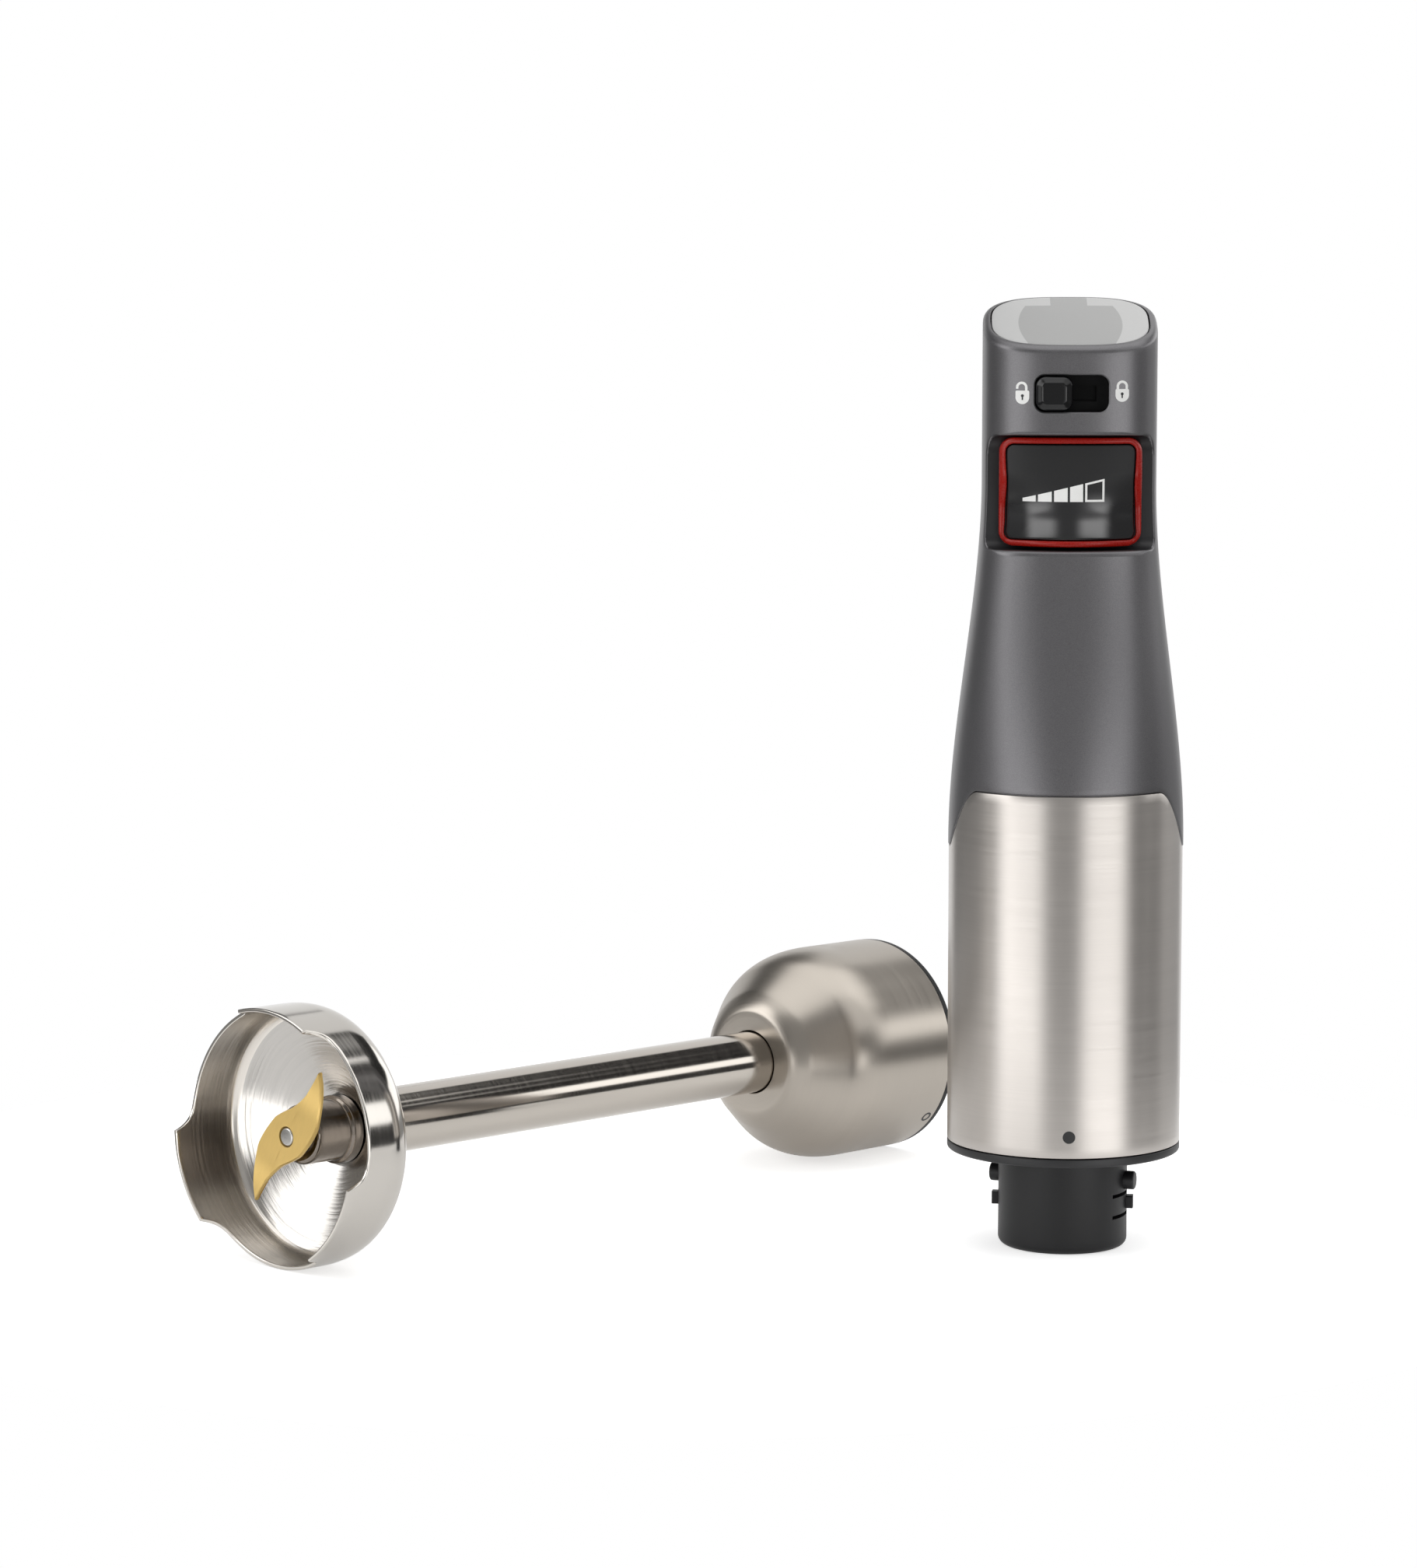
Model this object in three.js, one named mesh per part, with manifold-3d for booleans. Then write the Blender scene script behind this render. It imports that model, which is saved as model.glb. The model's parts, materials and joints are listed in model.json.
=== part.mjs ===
// Hand blender: a motor unit standing on its coupling collar, and its detached steel blending shaft
// lying beside it. Millimetres, +Z up. The origin is on the floor, under the middle of the set.
import * as THREE from 'three';
import { ParametricGeometry } from 'three/addons/geometries/ParametricGeometry.js';
import { mergeVertices } from 'three/addons/utils/BufferGeometryUtils.js';
import Module from 'manifold-3d';

const wasm = await Module();
wasm.setup();

// ---------------------------------------------------------------- driving dimensions
const gap = 0.3; // clearance between separate pieces
const bodySteps = 36; // facets around the handle and sleeve
const ringSteps = 28; // facets around the collar and the coupling cone
const innerSteps = 18; // facets around round pieces inside
const smallSteps = 8; // facets around pins, screws and small bosses

// motor unit: steel sleeve and black base
const sleeveRadius = 29;
const sleeveWall = 0.8;
const sleeveBottom = 26.9;
const seamTop = 115.8; // height of the steel at front and back
const seamDrop = 15.2; // how far the seam dips at both sides
const seamTurn = 50; // degrees from the front where the seam starts to fall
const seamFall = 35; // degrees over which it falls
const baseBottom = 24.5;
const baseThickness = 2.1;

// coupling collar with its bayonet bosses and spring catches
const collarRadius = 16.1;
const collarBore = 12.6;
const collarFoot = 2; // radius of the rounded lower edge
const collarFlangeRadius = 23.8;
const collarFlangeThickness = 2.5;
const bossAngle = 74; // degrees from the front, second boss opposite
const bossHeight = 17;
const bossRadius = 2.3;
const bossReach = 18.6;
const catchAngle = 83;
const catchHeight = 11.1;
const catchSize = 3.2;
const catchReach = 17.7;
const tongueSpan = 41; // degrees covered by each spring tongue
const tongueEnd = 7; // degrees from the catch's middle to the end of its tongue
const tongueEndSlit = 3; // degrees
const tongueSlit = 0.9;
const tongueHalfHeight = 2.2;
const collarScrewCircle = 20.4;

// handle
const handleWall = 2.4;
const barrelRadius = 29.15; // half width of the handle at the seam
const gripHalfWidth = 21.6;
const gripDepthRatio = 0.963; // depth over width at the top
const gripPower = 3; // superellipse power of the section at the top
const taperBottom = 102;
const skirtBottom = 92;
const skirtWall = 2;
const rimRadius = 1.6; // rounding of the rim around the cap
const capSlant = 16.7; // degrees, falling to the front
const capMiddle = 230.4; // height of the cap plane over the axis
const taperDrop = 39.4; // the section is constant from this far below the cap
const taperTop = capMiddle - taperDrop;
const capHalfWidth = 19.3;
const capThickness = 1.9;
const capCrown = 0.5;
const ledgeWidth = 2;
const ledgeThickness = 1.6;
const splitY = 6; // plane between front and back shell
const splitGap = 0.3;

// lock slider's slot, placed from the cap
const slotDrop = 17.3; // from the cap's middle to the slot's middle
const slotHeight = capMiddle - slotDrop;
const slotHalfLength = 9.05;
const slotHalfHeight = 4.75;
const slotCorner = 2.4;

// notch and trigger, placed from the slot
const slotBridge = 5.45; // housing left between the slot and the notch
const notchLength = 28.6;
const notchTop = slotHeight - slotHalfHeight - slotBridge;
const notchBottom = notchTop - notchLength;
const notchFloor = -10.5;
const notchWall = 2;
const notchUpperFillet = 5;
const notchLowerFillet = 3.5;
const triggerHalfWidth = 17.65;
const triggerUpperGap = 0.5;
const triggerLowerGap = 1.1;
const triggerTop = notchTop - triggerUpperGap;
const triggerBottom = notchBottom + triggerLowerGap;
const triggerCorner = 3.6;
const triggerFront = 21; // distance of the trigger face from the axis
const triggerHollow = 1.5; // how far the upper part of the face is scooped
const triggerWall = 1.6;
const rimWidth = 1.9;
const rimProud = 0.35;
const rimDepth = 3.4;
const pivotY = -13.5;
const pivotDrop = 6.6; // from the trigger's upper edge to its pivot
const pivotHeight = triggerTop - pivotDrop;
const pivotRadius = 1;
const pivotHalfLength = 13.6;
const earCentre = 12.4;
const earThickness = 1.8;
const earHalfHeight = 1.8;
const earReach = 2.2; // how far an ear runs past the pin's middle
const armCentre = 9.8;
const armThickness = 2;
const armHalfHeight = 1.9;
const ribRise = 5.6; // from the trigger's lower edge to the rib that presses the sensor
const ribHeight = triggerBottom + ribRise;
const ribSize = 3;
const ribEnd = -9.2;
const springRise = 8; // from that rib to the spring
const springHeight = ribHeight + springRise;
const springRadius = 2.4;
const springWire = 0.5;
const springTurns = 4;

// lock slider
const knobLength = 9.1;
const knobProud = 0.75;
const knobBevel = 1.7; // width of the knob's slanted edge
const knobRound = 1.2; // height of that edge
const boltThickness = 1.2; // plate behind the tray that blocks the trigger
const trayWall = 1;
const trayDepth = 2.2;
const stemWidth = 3.2;

// motor
const stackBottom = 54;
const stackLength = 25;
const statorRadius = 21.2;
const yokeWall = 3;
const poleGap = 0.5;
const shoeThickness = 2.2;
const shoeHalf = 50; // degrees
const coilHalf = 42; // degrees
const neckHalf = 5.5;
const armatureRadius = 12.2;
const motorShaftRadius = 2.9;
const motorShaftBottom = 14.5;
const motorShaftTop = 104;
const bearingRadius = 9.5;
const bearingWidth = 6;
const lowerBracketBottom = 30;
const bracketThickness = 4;
const upperBracketBottom = 96;
const boltCircle = 23;
const boltRadius = 1.2;
const boltHead = 2.3;
const postRadius = 2.7;
const commutatorRadius = 6.4;
const commutatorBottom = 86;
const commutatorLength = 7;
const fanBottom = 41;
const fanRadius = 19;
const fanHeight = 6.5;
const fanHub = 6;
const fanBlades = 7;
const driveCouplingRadius = 8;
const driveCouplingBottom = 5;
const driveCouplingTop = 20;
const splineRadius = 5.6; // star socket in the drive coupling
const splineInner = 4.4;
const splineDepth = 9;

// electronics
const boardY = 4;
const boardThickness = 1.6;
const boardHalfWidth = 13;
const boardLength = 84;
const boardDrop = 6.9; // from the notch's upper edge to the board's
const boardTop = notchTop - boardDrop;
const boardBottom = boardTop - boardLength;

// cord inlet
const glandDrop = 17.4; // from the cap's middle to the gland's middle
const glandHeight = capMiddle - glandDrop;
const glandRadius = 5.4;
const glandBore = 3.5;

// blending shaft: its own axis runs from the coupling rim (0) to the bell rim (shaftLength)
const shaftLength = 227.6;
const coneRadius = 28.8;
const coneWall = 0.9;
const coneShoulder = 24; // where the straight part ends
const coneSlope = 0.75; // radius lost per millimetre on the slanted part
const coneCorner = 34.8; // where straight part and slant would meet
const coneRound = 5.6; // the rounding ends this much nearer the corner than it starts
const coneLength = 51.8;
const coneFaceRadius = 15.4;
const linerRim = 0.7;
const linerWall = 4.2;
const linerDepth = 26;
const linerWeb = 3;
const linerHub = 10;
const turnAngle = 30; // degrees the bayonet turns
const tubeRadius = 8.28;
const tubeWall = 1;
const bellRadius = 32.43;
const bellWall = 1;
const bellStraight = 13; // length of the straight wall behind the full-height rim
const bellCorner = 19.8;
const bellShoulderRadius = 28.2;
const bellShoulderBack = 21.2;
const bellNeckRadius = 9.8;
const bellNeckFront = 28.4;
const bellNeckBack = 36;
const ceilingRim = 18.3; // depth of the ceiling at the wall
const ceilingHub = 26.3; // depth of the ceiling at the hub
const lobeCount = 3;
const lobeAngle = 84; // degrees, one lobe's middle, counted from the shaft's right-hand side
const lobeHalf = 21.3;
const lobeDepth = 5.9;
const lobeEase = 3.2; // degrees in which a flank falls by two thirds
const hubBaseRadius = 8.5;
const hubFrontRadius = 7.4;
const hubFront = 12.2;
const hubSpigotRadius = 5.2;
const hubSpigotLength = 16;
const rodRadius = 2.5;
const rodShoulderRadius = 4.2;
const bushRadius = 4.5;
const bladeFront = 8.2;
const bladeThickness = 1.4;
const bladeHole = 2.6;
const bladeBend = 1.4;
const bladeBendStart = 8;
const drivenTop = 10; // free end of the driven coupling, below the coupling rim
const drivenRadius = 7.5;
const rodSeat = 6; // how far inside the driven coupling the rod starts

// how the shaft lies beside the motor unit
const restRimX = -48.2; // middle of the coupling rim
const restRimY = 128.45;
const restHeading = 229.63; // degrees in plan, from coupling to bell

// ---------------------------------------------------------------- shared helpers
const deg = Math.PI / 180;
const smooth = t => { const c = Math.min(1, Math.max(0, t)); return c * c * (3 - 2 * c); };
const mix = (a, b, t) => a + (b - a) * t;
const v2 = (x, y) => new THREE.Vector2(x, y);
const v3 = (x, y, z) => new THREE.Vector3(x, y, z);

// Merged, outward-facing copy of a closed geometry, without its zero-area triangles.
function closed(geometry) {
  const bare = geometry.clone();
  bare.deleteAttribute('normal');
  bare.deleteAttribute('uv');
  const merged = mergeVertices(bare, 1e-4);
  const p = merged.attributes.position;
  const index = [];
  for (let i = 0; i < merged.index.count; i += 3) {
    const [a, b, c] = [0, 1, 2].map(k => merged.index.getX(i + k));
    if (a !== b && b !== c && c !== a) index.push(a, b, c);
  }
  const [a, b, c] = [v3(0, 0, 0), v3(0, 0, 0), v3(0, 0, 0)];
  let volume = 0;
  for (let i = 0; i < index.length; i += 3) {
    [a, b, c].forEach((v, k) => v.fromBufferAttribute(p, index[i + k]));
    volume += a.dot(b.clone().cross(c)) / 6;
  }
  if (volume < 0) index.reverse();
  merged.setIndex(index);
  return merged;
}

function solid(geometry) {
  const g = closed(geometry);
  const vertProperties = Float32Array.from(g.attributes.position.array);
  const triVerts = Uint32Array.from(g.index.array);
  return new wasm.Manifold(new wasm.Mesh({ numProp: 3, vertProperties, triVerts }));
}

function shape(manifold) {
  const mesh = manifold.getMesh();
  const g = new THREE.BufferGeometry();
  g.setAttribute('position', new THREE.BufferAttribute(Float32Array.from(mesh.vertProperties), 3));
  g.setIndex(Array.from(mesh.triVerts));
  return g;
}

const join = (...list) => list.reduce((a, b) => a.add(b));
const cut = (body, ...tools) => tools.reduce((a, b) => a.subtract(b), body);

// Solid of revolution about Z from a closed outline of [radius, height] points.
function turned(outline, steps = bodySteps) {
  const points = outline.map(([r, z]) => v2(r, z));
  if (outline[0][0] > 0) points.push(points[0].clone());
  return new THREE.LatheGeometry(points, steps).rotateX(Math.PI / 2);
}

// Round bar or tube between two heights; a bore of 0 gives a full bar.
function bar(radius, low, high, bore = 0, steps = smallSteps) {
  if (bore > 0) return turned([[bore, low], [radius, low], [radius, high], [bore, high]], steps);
  return turned([[0, low], [radius, low], [radius, high], [0, high]], steps);
}

// Box from its lowest and highest corner.
function block(low, high) {
  const size = high.map((h, i) => h - low[i]);
  const g = new THREE.BoxGeometry(...size);
  return g.translate(...low.map((l, i) => l + size[i] / 2));
}

// Prism of a flat outline, standing on z = low.
function prism(outline, low, high, curveSegments = 3) {
  const g = new THREE.ExtrudeGeometry(outline, { depth: high - low, bevelEnabled: false, curveSegments });
  return g.translate(0, 0, low);
}

function roundedRect(halfX, halfY, corner, x = 0, y = 0) {
  const s = new THREE.Shape();
  s.moveTo(x - halfX + corner, y - halfY);
  s.lineTo(x + halfX - corner, y - halfY);
  s.absarc(x + halfX - corner, y - halfY + corner, corner, -90 * deg, 0);
  s.lineTo(x + halfX, y + halfY - corner);
  s.absarc(x + halfX - corner, y + halfY - corner, corner, 0, 90 * deg);
  s.lineTo(x - halfX + corner, y + halfY);
  s.absarc(x - halfX + corner, y + halfY - corner, corner, 90 * deg, 180 * deg);
  s.lineTo(x - halfX, y - halfY + corner);
  s.absarc(x - halfX + corner, y - halfY + corner, corner, 180 * deg, 270 * deg);
  return s;
}

// A prism whose outline lies in X-Z and which runs along Y from nearY to farY.
const alongY = (outline, nearY, farY) => prism(outline, -farY, -nearY).rotateX(Math.PI / 2);

// Closed ring swept around: profileAt(turn) gives the closed section, as points, at 0..1 of a turn.
function swept(profileAt, turns) {
  const count = profileAt(0).length;
  const sections = turns.map(profileAt);
  const place = (u, v, target) => {
    const section = sections[Math.round(u * turns.length) % turns.length];
    target.copy(section[Math.round(v * count) % count]);
  };
  return new ParametricGeometry(place, turns.length, count);
}

const evenTurns = count => Array.from({ length: count }, (_, i) => i / count);
const aroundZ = (geometry, angle) => geometry.rotateZ(angle * deg);

// Places something made at radius x, angle 0, at an angle counted from the front (-Y) towards +X.
const fromFront = (geometry, angle) => aroundZ(geometry, angle - 90);

const materials = {
  housing: new THREE.MeshStandardMaterial({ color: 0x5f5f62, roughness: 0.45, metalness: 0.25 }),
  steel: new THREE.MeshStandardMaterial({ color: 0xb9b4ac, roughness: 0.3, metalness: 1 }),
  polished: new THREE.MeshStandardMaterial({ color: 0xc8c8c8, roughness: 0.12, metalness: 1 }),
  black: new THREE.MeshStandardMaterial({ color: 0x2b2b2d, roughness: 0.6, metalness: 0 }),
  gloss: new THREE.MeshStandardMaterial({ color: 0x121315, roughness: 0.15, metalness: 0 }),
  red: new THREE.MeshStandardMaterial({ color: 0x9a1f12, roughness: 0.4, metalness: 0 }),
  cap: new THREE.MeshStandardMaterial({ color: 0xb9bab8, roughness: 0.35, metalness: 0 }),
  gold: new THREE.MeshStandardMaterial({ color: 0xd0aa5a, roughness: 0.3, metalness: 1 }),
  copper: new THREE.MeshStandardMaterial({ color: 0xb5652f, roughness: 0.35, metalness: 1 }),
  brass: new THREE.MeshStandardMaterial({ color: 0xb89a4c, roughness: 0.35, metalness: 1 }),
  iron: new THREE.MeshStandardMaterial({ color: 0x6b6d70, roughness: 0.5, metalness: 1 }),
  bearing: new THREE.MeshStandardMaterial({ color: 0xaeb2b6, roughness: 0.2, metalness: 1 }),
  carbon: new THREE.MeshStandardMaterial({ color: 0x262628, roughness: 0.8, metalness: 0 }),
  board: new THREE.MeshStandardMaterial({ color: 0x1f5a3a, roughness: 0.6, metalness: 0 }),
  frame: new THREE.MeshStandardMaterial({ color: 0xd8d6cf, roughness: 0.6, metalness: 0 }),
  rubber: new THREE.MeshStandardMaterial({ color: 0x1c1c1d, roughness: 0.9, metalness: 0 }),
};

function piece(name, geometry, material) {
  const ready = closed(geometry instanceof THREE.BufferGeometry ? geometry : shape(geometry));
  ready.computeVertexNormals();
  const mesh = new THREE.Mesh(ready, materials[material]);
  mesh.name = name;
  return mesh;
}

// ---------------------------------------------------------------- handle surface
// Height of the steel's upper edge at an angle from the front, the same at front and back.
function seamHeight(angle) {
  const folded = Math.acos(Math.abs(Math.cos(angle))) / deg;
  return seamTop - seamDrop * smooth((folded - seamTurn) / seamFall);
}

const taper = z => smooth((z - taperBottom) / (taperTop - taperBottom));
const handleHalfWidth = z => mix(barrelRadius, gripHalfWidth, taper(z));
const capPlane = y => capMiddle + y * Math.tan(capSlant * deg);

// Point of the handle's section at height z: a circle at the seam, a superellipse at the grip.
function handlePoint(angle, z, inset = 0) {
  const half = handleHalfWidth(z) - inset;
  const depth = handleHalfWidth(z) * mix(1, gripDepthRatio, taper(z)) - inset;
  const power = 2 / mix(2, gripPower, taper(z));
  const [s, c] = [Math.sin(angle), Math.cos(angle)];
  return v2(half * Math.sign(s) * Math.abs(s) ** power, -depth * Math.sign(c) * Math.abs(c) ** power);
}

// Point on the slanted top plane, inset from the grip's section and lowered by drop.
function topPoint(angle, inset, drop) {
  const p = handlePoint(angle, taperTop, inset);
  return v3(p.x, p.y, capPlane(p.y) - drop);
}

function handlePointAt(angle, z, inset = 0) {
  const p = handlePoint(angle, z, inset);
  return v3(p.x, p.y, z);
}

const wallSteps = 5;
const roundSteps = 2;
const insideSteps = 3;
const openingInset = gripHalfWidth - capHalfWidth - gap;

// Outer skin of the handle from just above the seam to the opening for the cap.
function handleSkin(angle) {
  const start = seamHeight(angle) + gap;
  const end = topPoint(angle, 0, rimRadius).z;
  const points = [];
  for (let i = 0; i <= wallSteps; i++) points.push(handlePointAt(angle, mix(start, end, i / wallSteps)));
  for (let i = 1; i <= roundSteps; i++) {
    const lift = 90 * deg * i / roundSteps;
    points.push(topPoint(angle, rimRadius * (1 - Math.cos(lift)), rimRadius * (1 - Math.sin(lift))));
  }
  return points;
}

const skirtOuter = sleeveRadius - sleeveWall - gap;
const skirtInner = skirtOuter - skirtWall;
const barrelPoint = (angle, radius, z) => v3(radius * Math.sin(angle), -radius * Math.cos(angle), z);

// Whole section of the handle wall: skirt, skin, lip, cap ledge and the inner face.
function handleSection(turn) {
  const angle = turn * 2 * Math.PI;
  const start = seamHeight(angle) + gap;
  const ledgeTop = capThickness + gap;
  const ledgeInset = openingInset + ledgeWidth;
  const inside = [];
  const insideTop = topPoint(angle, handleWall, ledgeTop + ledgeThickness).z;
  for (let i = 0; i <= insideSteps; i++) {
    inside.push(handlePointAt(angle, mix(insideTop, seamTop + skirtWall, i / insideSteps), handleWall));
  }
  return [
    barrelPoint(angle, skirtOuter, skirtBottom),
    barrelPoint(angle, skirtOuter, start),
    ...handleSkin(angle),
    topPoint(angle, openingInset, 0),
    topPoint(angle, openingInset, ledgeTop),
    topPoint(angle, ledgeInset, ledgeTop),
    topPoint(angle, ledgeInset, ledgeTop + ledgeThickness),
    ...inside,
    barrelPoint(angle, skirtInner, skirtBottom),
  ];
}

// The handle as a full body, used to trim bosses and the notch liner to its outside.
function handleFull(inset) {
  const section = turn => {
    const shrink = 1 - inset / gripHalfWidth;
    const skin = handleSkin(turn * 2 * Math.PI).map(p => v3(p.x * shrink, p.y * shrink, p.z));
    return [v3(0, 0, skirtBottom), ...skin, v3(0, 0, capPlane(0))];
  };
  return solid(swept(section, evenTurns(bodySteps)));
}

// ---------------------------------------------------------------- handle shells, cap, notch
// Side view of the notch (Y, Z), open to the front, grown outward by a wall.
function notchOutline(grow) {
  const [floor, low, high] = [notchFloor + grow, notchBottom - grow, notchTop + grow];
  const [upper, lower] = [notchUpperFillet + grow, notchLowerFillet + grow];
  const front = -2 * sleeveRadius;
  const s = new THREE.Shape();
  s.moveTo(front, low);
  s.lineTo(floor - lower, low);
  s.absarc(floor - lower, low + lower, lower, -90 * deg, 0);
  s.lineTo(floor, high - upper);
  s.absarc(floor - upper, high - upper, upper, 0, 90 * deg);
  s.lineTo(front, high);
  return s;
}

// A prism whose outline lies in Y-Z and which runs along X.
function alongX(outline, low, high, curveSegments = 3) {
  const turn = new THREE.Matrix4().makeBasis(v3(0, 1, 0), v3(0, 0, 1), v3(1, 0, 0));
  return prism(outline, low, high, curveSegments).applyMatrix4(turn);
}

const barX = (radius, low, high, y, z) => bar(radius, low, high).rotateY(90 * deg).translate(0, y, z);
const barY = (radius, low, high, x, z, steps = smallSteps) => {
  return bar(radius, low, high, 0, steps).rotateX(-90 * deg).translate(x, 0, z);
};

const trayTop = slotHalfHeight + trayWall + gap;
const shellScrews = [
  { name: 'shell_screw_upper_left', x: -13.6, z: slotHeight },
  { name: 'shell_screw_upper_right', x: 13.6, z: slotHeight },
  { name: 'shell_screw_lower_left', x: -19, z: seamTop + 9 },
  { name: 'shell_screw_lower_right', x: 19, z: seamTop + 9 },
];
const screwRadius = 1.3;
const screwHead = 2.6;
const screwSeat = 12; // Y of the seat under each shell screw's head
const screwLength = 18;
const bossWall = 1;
const frontBossBack = splitY - splitGap / 2;
const backBossFront = splitY + splitGap / 2;

const reach = 2 * sleeveRadius; // past the outside of everything in the motor unit
const overTop = 2 * capMiddle; // past its top
const handleWalls = solid(swept(handleSection, evenTurns(bodySteps)));
const handleInside = handleFull(handleWall / 6);
const pilotHole = s => solid(barY(screwRadius + gap, screwSeat - screwLength - 1, reach, s.x, s.z));

// Ears that carry the trigger's pin, standing out of the notch floor.
function pinEar(side) {
  return solid(block(
    [side * earCentre - earThickness / 2, pivotY - earReach, pivotHeight - earHalfHeight],
    [side * earCentre + earThickness / 2, notchFloor + notchWall / 2, pivotHeight + earHalfHeight]));
}

function frontShell() {
  const boss = s => solid(barY(screwRadius + gap + bossWall, -reach, frontBossBack, s.x, s.z));
  const half = solid(block([-reach, -reach, 0], [reach, frontBossBack, overTop]));
  const notch = solid(alongX(notchOutline(0), -reach, reach));
  const liner = cut(solid(alongX(notchOutline(notchWall), -reach, reach)), notch);
  const inside = join(liner, ...shellScrews.map(boss)).intersect(handleInside);
  const slotOutline = roundedRect(slotHalfLength, slotHalfHeight, slotCorner, 0, slotHeight);
  const slot = solid(alongY(slotOutline, -reach, -gripHalfWidth / 2));
  const trayOutline = roundedRect(slotHalfLength + trayWall + gap, trayTop, trayWall, 0, slotHeight);
  const trayRoom = solid(alongY(trayOutline, trayFront - gap, 0));
  const ribWindow = solid(block(
    [-ribSize, notchFloor - notchWall, ribHeight - ribSize],
    [ribSize, notchFloor + 2 * notchWall, ribHeight + ribSize]));
  const pinHole = solid(barX(pivotRadius + gap / 2, -reach, reach, pivotY, pivotHeight));
  const walls = cut(join(handleWalls, inside).intersect(half), notch);
  const shell = cut(
    join(walls, pinEar(-1), pinEar(1)),
    slot, trayRoom, ribWindow, pinHole, ...shellScrews.map(pilotHole));
  return piece('front_shell', shell, 'housing');
}

function backShell() {
  const boss = s => solid(barY(screwHead + gap + bossWall, backBossFront, reach, s.x, s.z));
  const half = solid(block([-reach, backBossFront, 0], [reach, reach, overTop]));
  const inside = join(...shellScrews.map(boss)).intersect(handleInside);
  const inlet = solid(barY(glandRadius + gap, 0, reach, 0, glandHeight, innerSteps));
  const headRoom = s => solid(barY(screwHead + gap, screwSeat, reach, s.x, s.z));
  const shell = cut(
    join(handleWalls, inside).intersect(half),
    inlet, ...shellScrews.map(pilotHole), ...shellScrews.map(headRoom));
  return piece('back_shell', shell, 'housing');
}

function shellScrew(spec) {
  const shank = barY(screwRadius, screwSeat - screwLength, screwSeat + 0.2, spec.x, spec.z);
  const head = barY(screwHead, screwSeat + gap / 2, screwSeat + 2, spec.x, spec.z);
  return piece(spec.name, join(solid(shank), solid(head)), 'steel');
}

// Slanted cap: a superellipse plate with a slight crown, set into the rim.
function topCap() {
  const edge = gripHalfWidth - capHalfWidth;
  const section = turn => {
    const angle = turn * 2 * Math.PI;
    return [
      v3(0, 0, capPlane(0) - capThickness),
      topPoint(angle, edge, capThickness),
      topPoint(angle, edge, 0.3),
      topPoint(angle, edge + 0.3, 0),
      topPoint(angle, edge + capHalfWidth / 2, -0.75 * capCrown),
      v3(0, 0, capPlane(0) + capCrown),
    ];
  };
  return piece('top_cap', swept(section, evenTurns(bodySteps)), 'cap');
}

// ---------------------------------------------------------------- trigger
const triggerMiddle = (triggerTop + triggerBottom) / 2;
const triggerHalfHeight = (triggerTop - triggerBottom) / 2;
const pressAngle = 5; // degrees of trigger travel
const triggerPoints = 36;

// Distance of the trigger face in front of the axis: bulged low down, scooped above.
function triggerFace(x, z) {
  const t = (z - triggerBottom) / (triggerTop - triggerBottom);
  const scoop = triggerHollow * Math.sin(Math.PI * Math.min(1, Math.max(0, (t - 0.25) / 0.9))) ** 2;
  const tuck = 0.8 * Math.max(0, 1 - t / 0.25) ** 2;
  const wrap = (1 - Math.min(0.98, Math.abs(x) / gripHalfWidth) ** gripPower) ** (1 / gripPower);
  return -(triggerFront - scoop - tuck) * wrap;
}

// Back edge of the trigger, clear of the notch floor when the trigger is pressed.
function triggerBack(z) {
  const press = Math.sin(pressAngle * deg) * Math.max(0, pivotHeight - z);
  const heel = (notchLowerFillet - 1.2) * (1 - smooth((z - triggerBottom) / 6));
  return notchFloor - 2 * gap - press - heel;
}

function triggerOutline(inset) {
  const corner = Math.max(0.8, triggerCorner - inset);
  const outline = roundedRect(triggerHalfWidth - inset, triggerHalfHeight - inset, corner, 0, triggerMiddle);
  return outline.getSpacedPoints(triggerPoints);
}

// Point over an outline point: drawn in towards the middle by scale, behind the face by depth.
function facePoint(p, scale, depth) {
  const [x, z] = [p.x * scale, mix(triggerMiddle, p.y, scale)];
  return v3(x, triggerFace(x, z) + depth, z);
}

// Point of the skirt's back edge, never less than depth behind the face.
const backPoint = (p, depth) => v3(p.x, Math.max(triggerBack(p.y), triggerFace(p.x, p.y) + depth), p.y);

function triggerCover() {
  const outer = triggerOutline(rimWidth + gap);
  const inner = triggerOutline(rimWidth + gap + triggerWall);
  const section = turn => {
    const k = Math.round(turn * triggerPoints);
    return [
      backPoint(outer[k], rimProud),
      facePoint(outer[k], 1, 0.3),
      facePoint(outer[k], 0.97, 0),
      ...[0.7, 0.35, 0].map(s => facePoint(outer[k], s, 0)),
      ...[0, 0.35, 0.7, 1].map(s => facePoint(inner[k], s, triggerWall)),
      backPoint(inner[k], triggerWall + 0.1),
    ];
  };
  const shell = solid(swept(section, evenTurns(triggerPoints)));
  const under = -(triggerFront - triggerHollow - triggerWall / 2);
  const arm = side => solid(block(
    [side * armCentre - armThickness / 2, under, pivotHeight - armHalfHeight],
    [side * armCentre + armThickness / 2, pivotY + armHalfHeight, pivotHeight + armHalfHeight]));
  const rib = solid(block(
    [-ribSize / 2, -triggerFront + triggerWall, ribHeight - ribSize / 2],
    [ribSize / 2, ribEnd, ribHeight + ribSize / 2]));
  const half = pivotHalfLength + gap;
  const pinRoom = solid(barX(pivotRadius + gap / 2, -half, half, pivotY, pivotHeight));
  return piece('trigger_cover', cut(join(shell, arm(-1), arm(1), rib), pinRoom), 'gloss');
}

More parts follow.
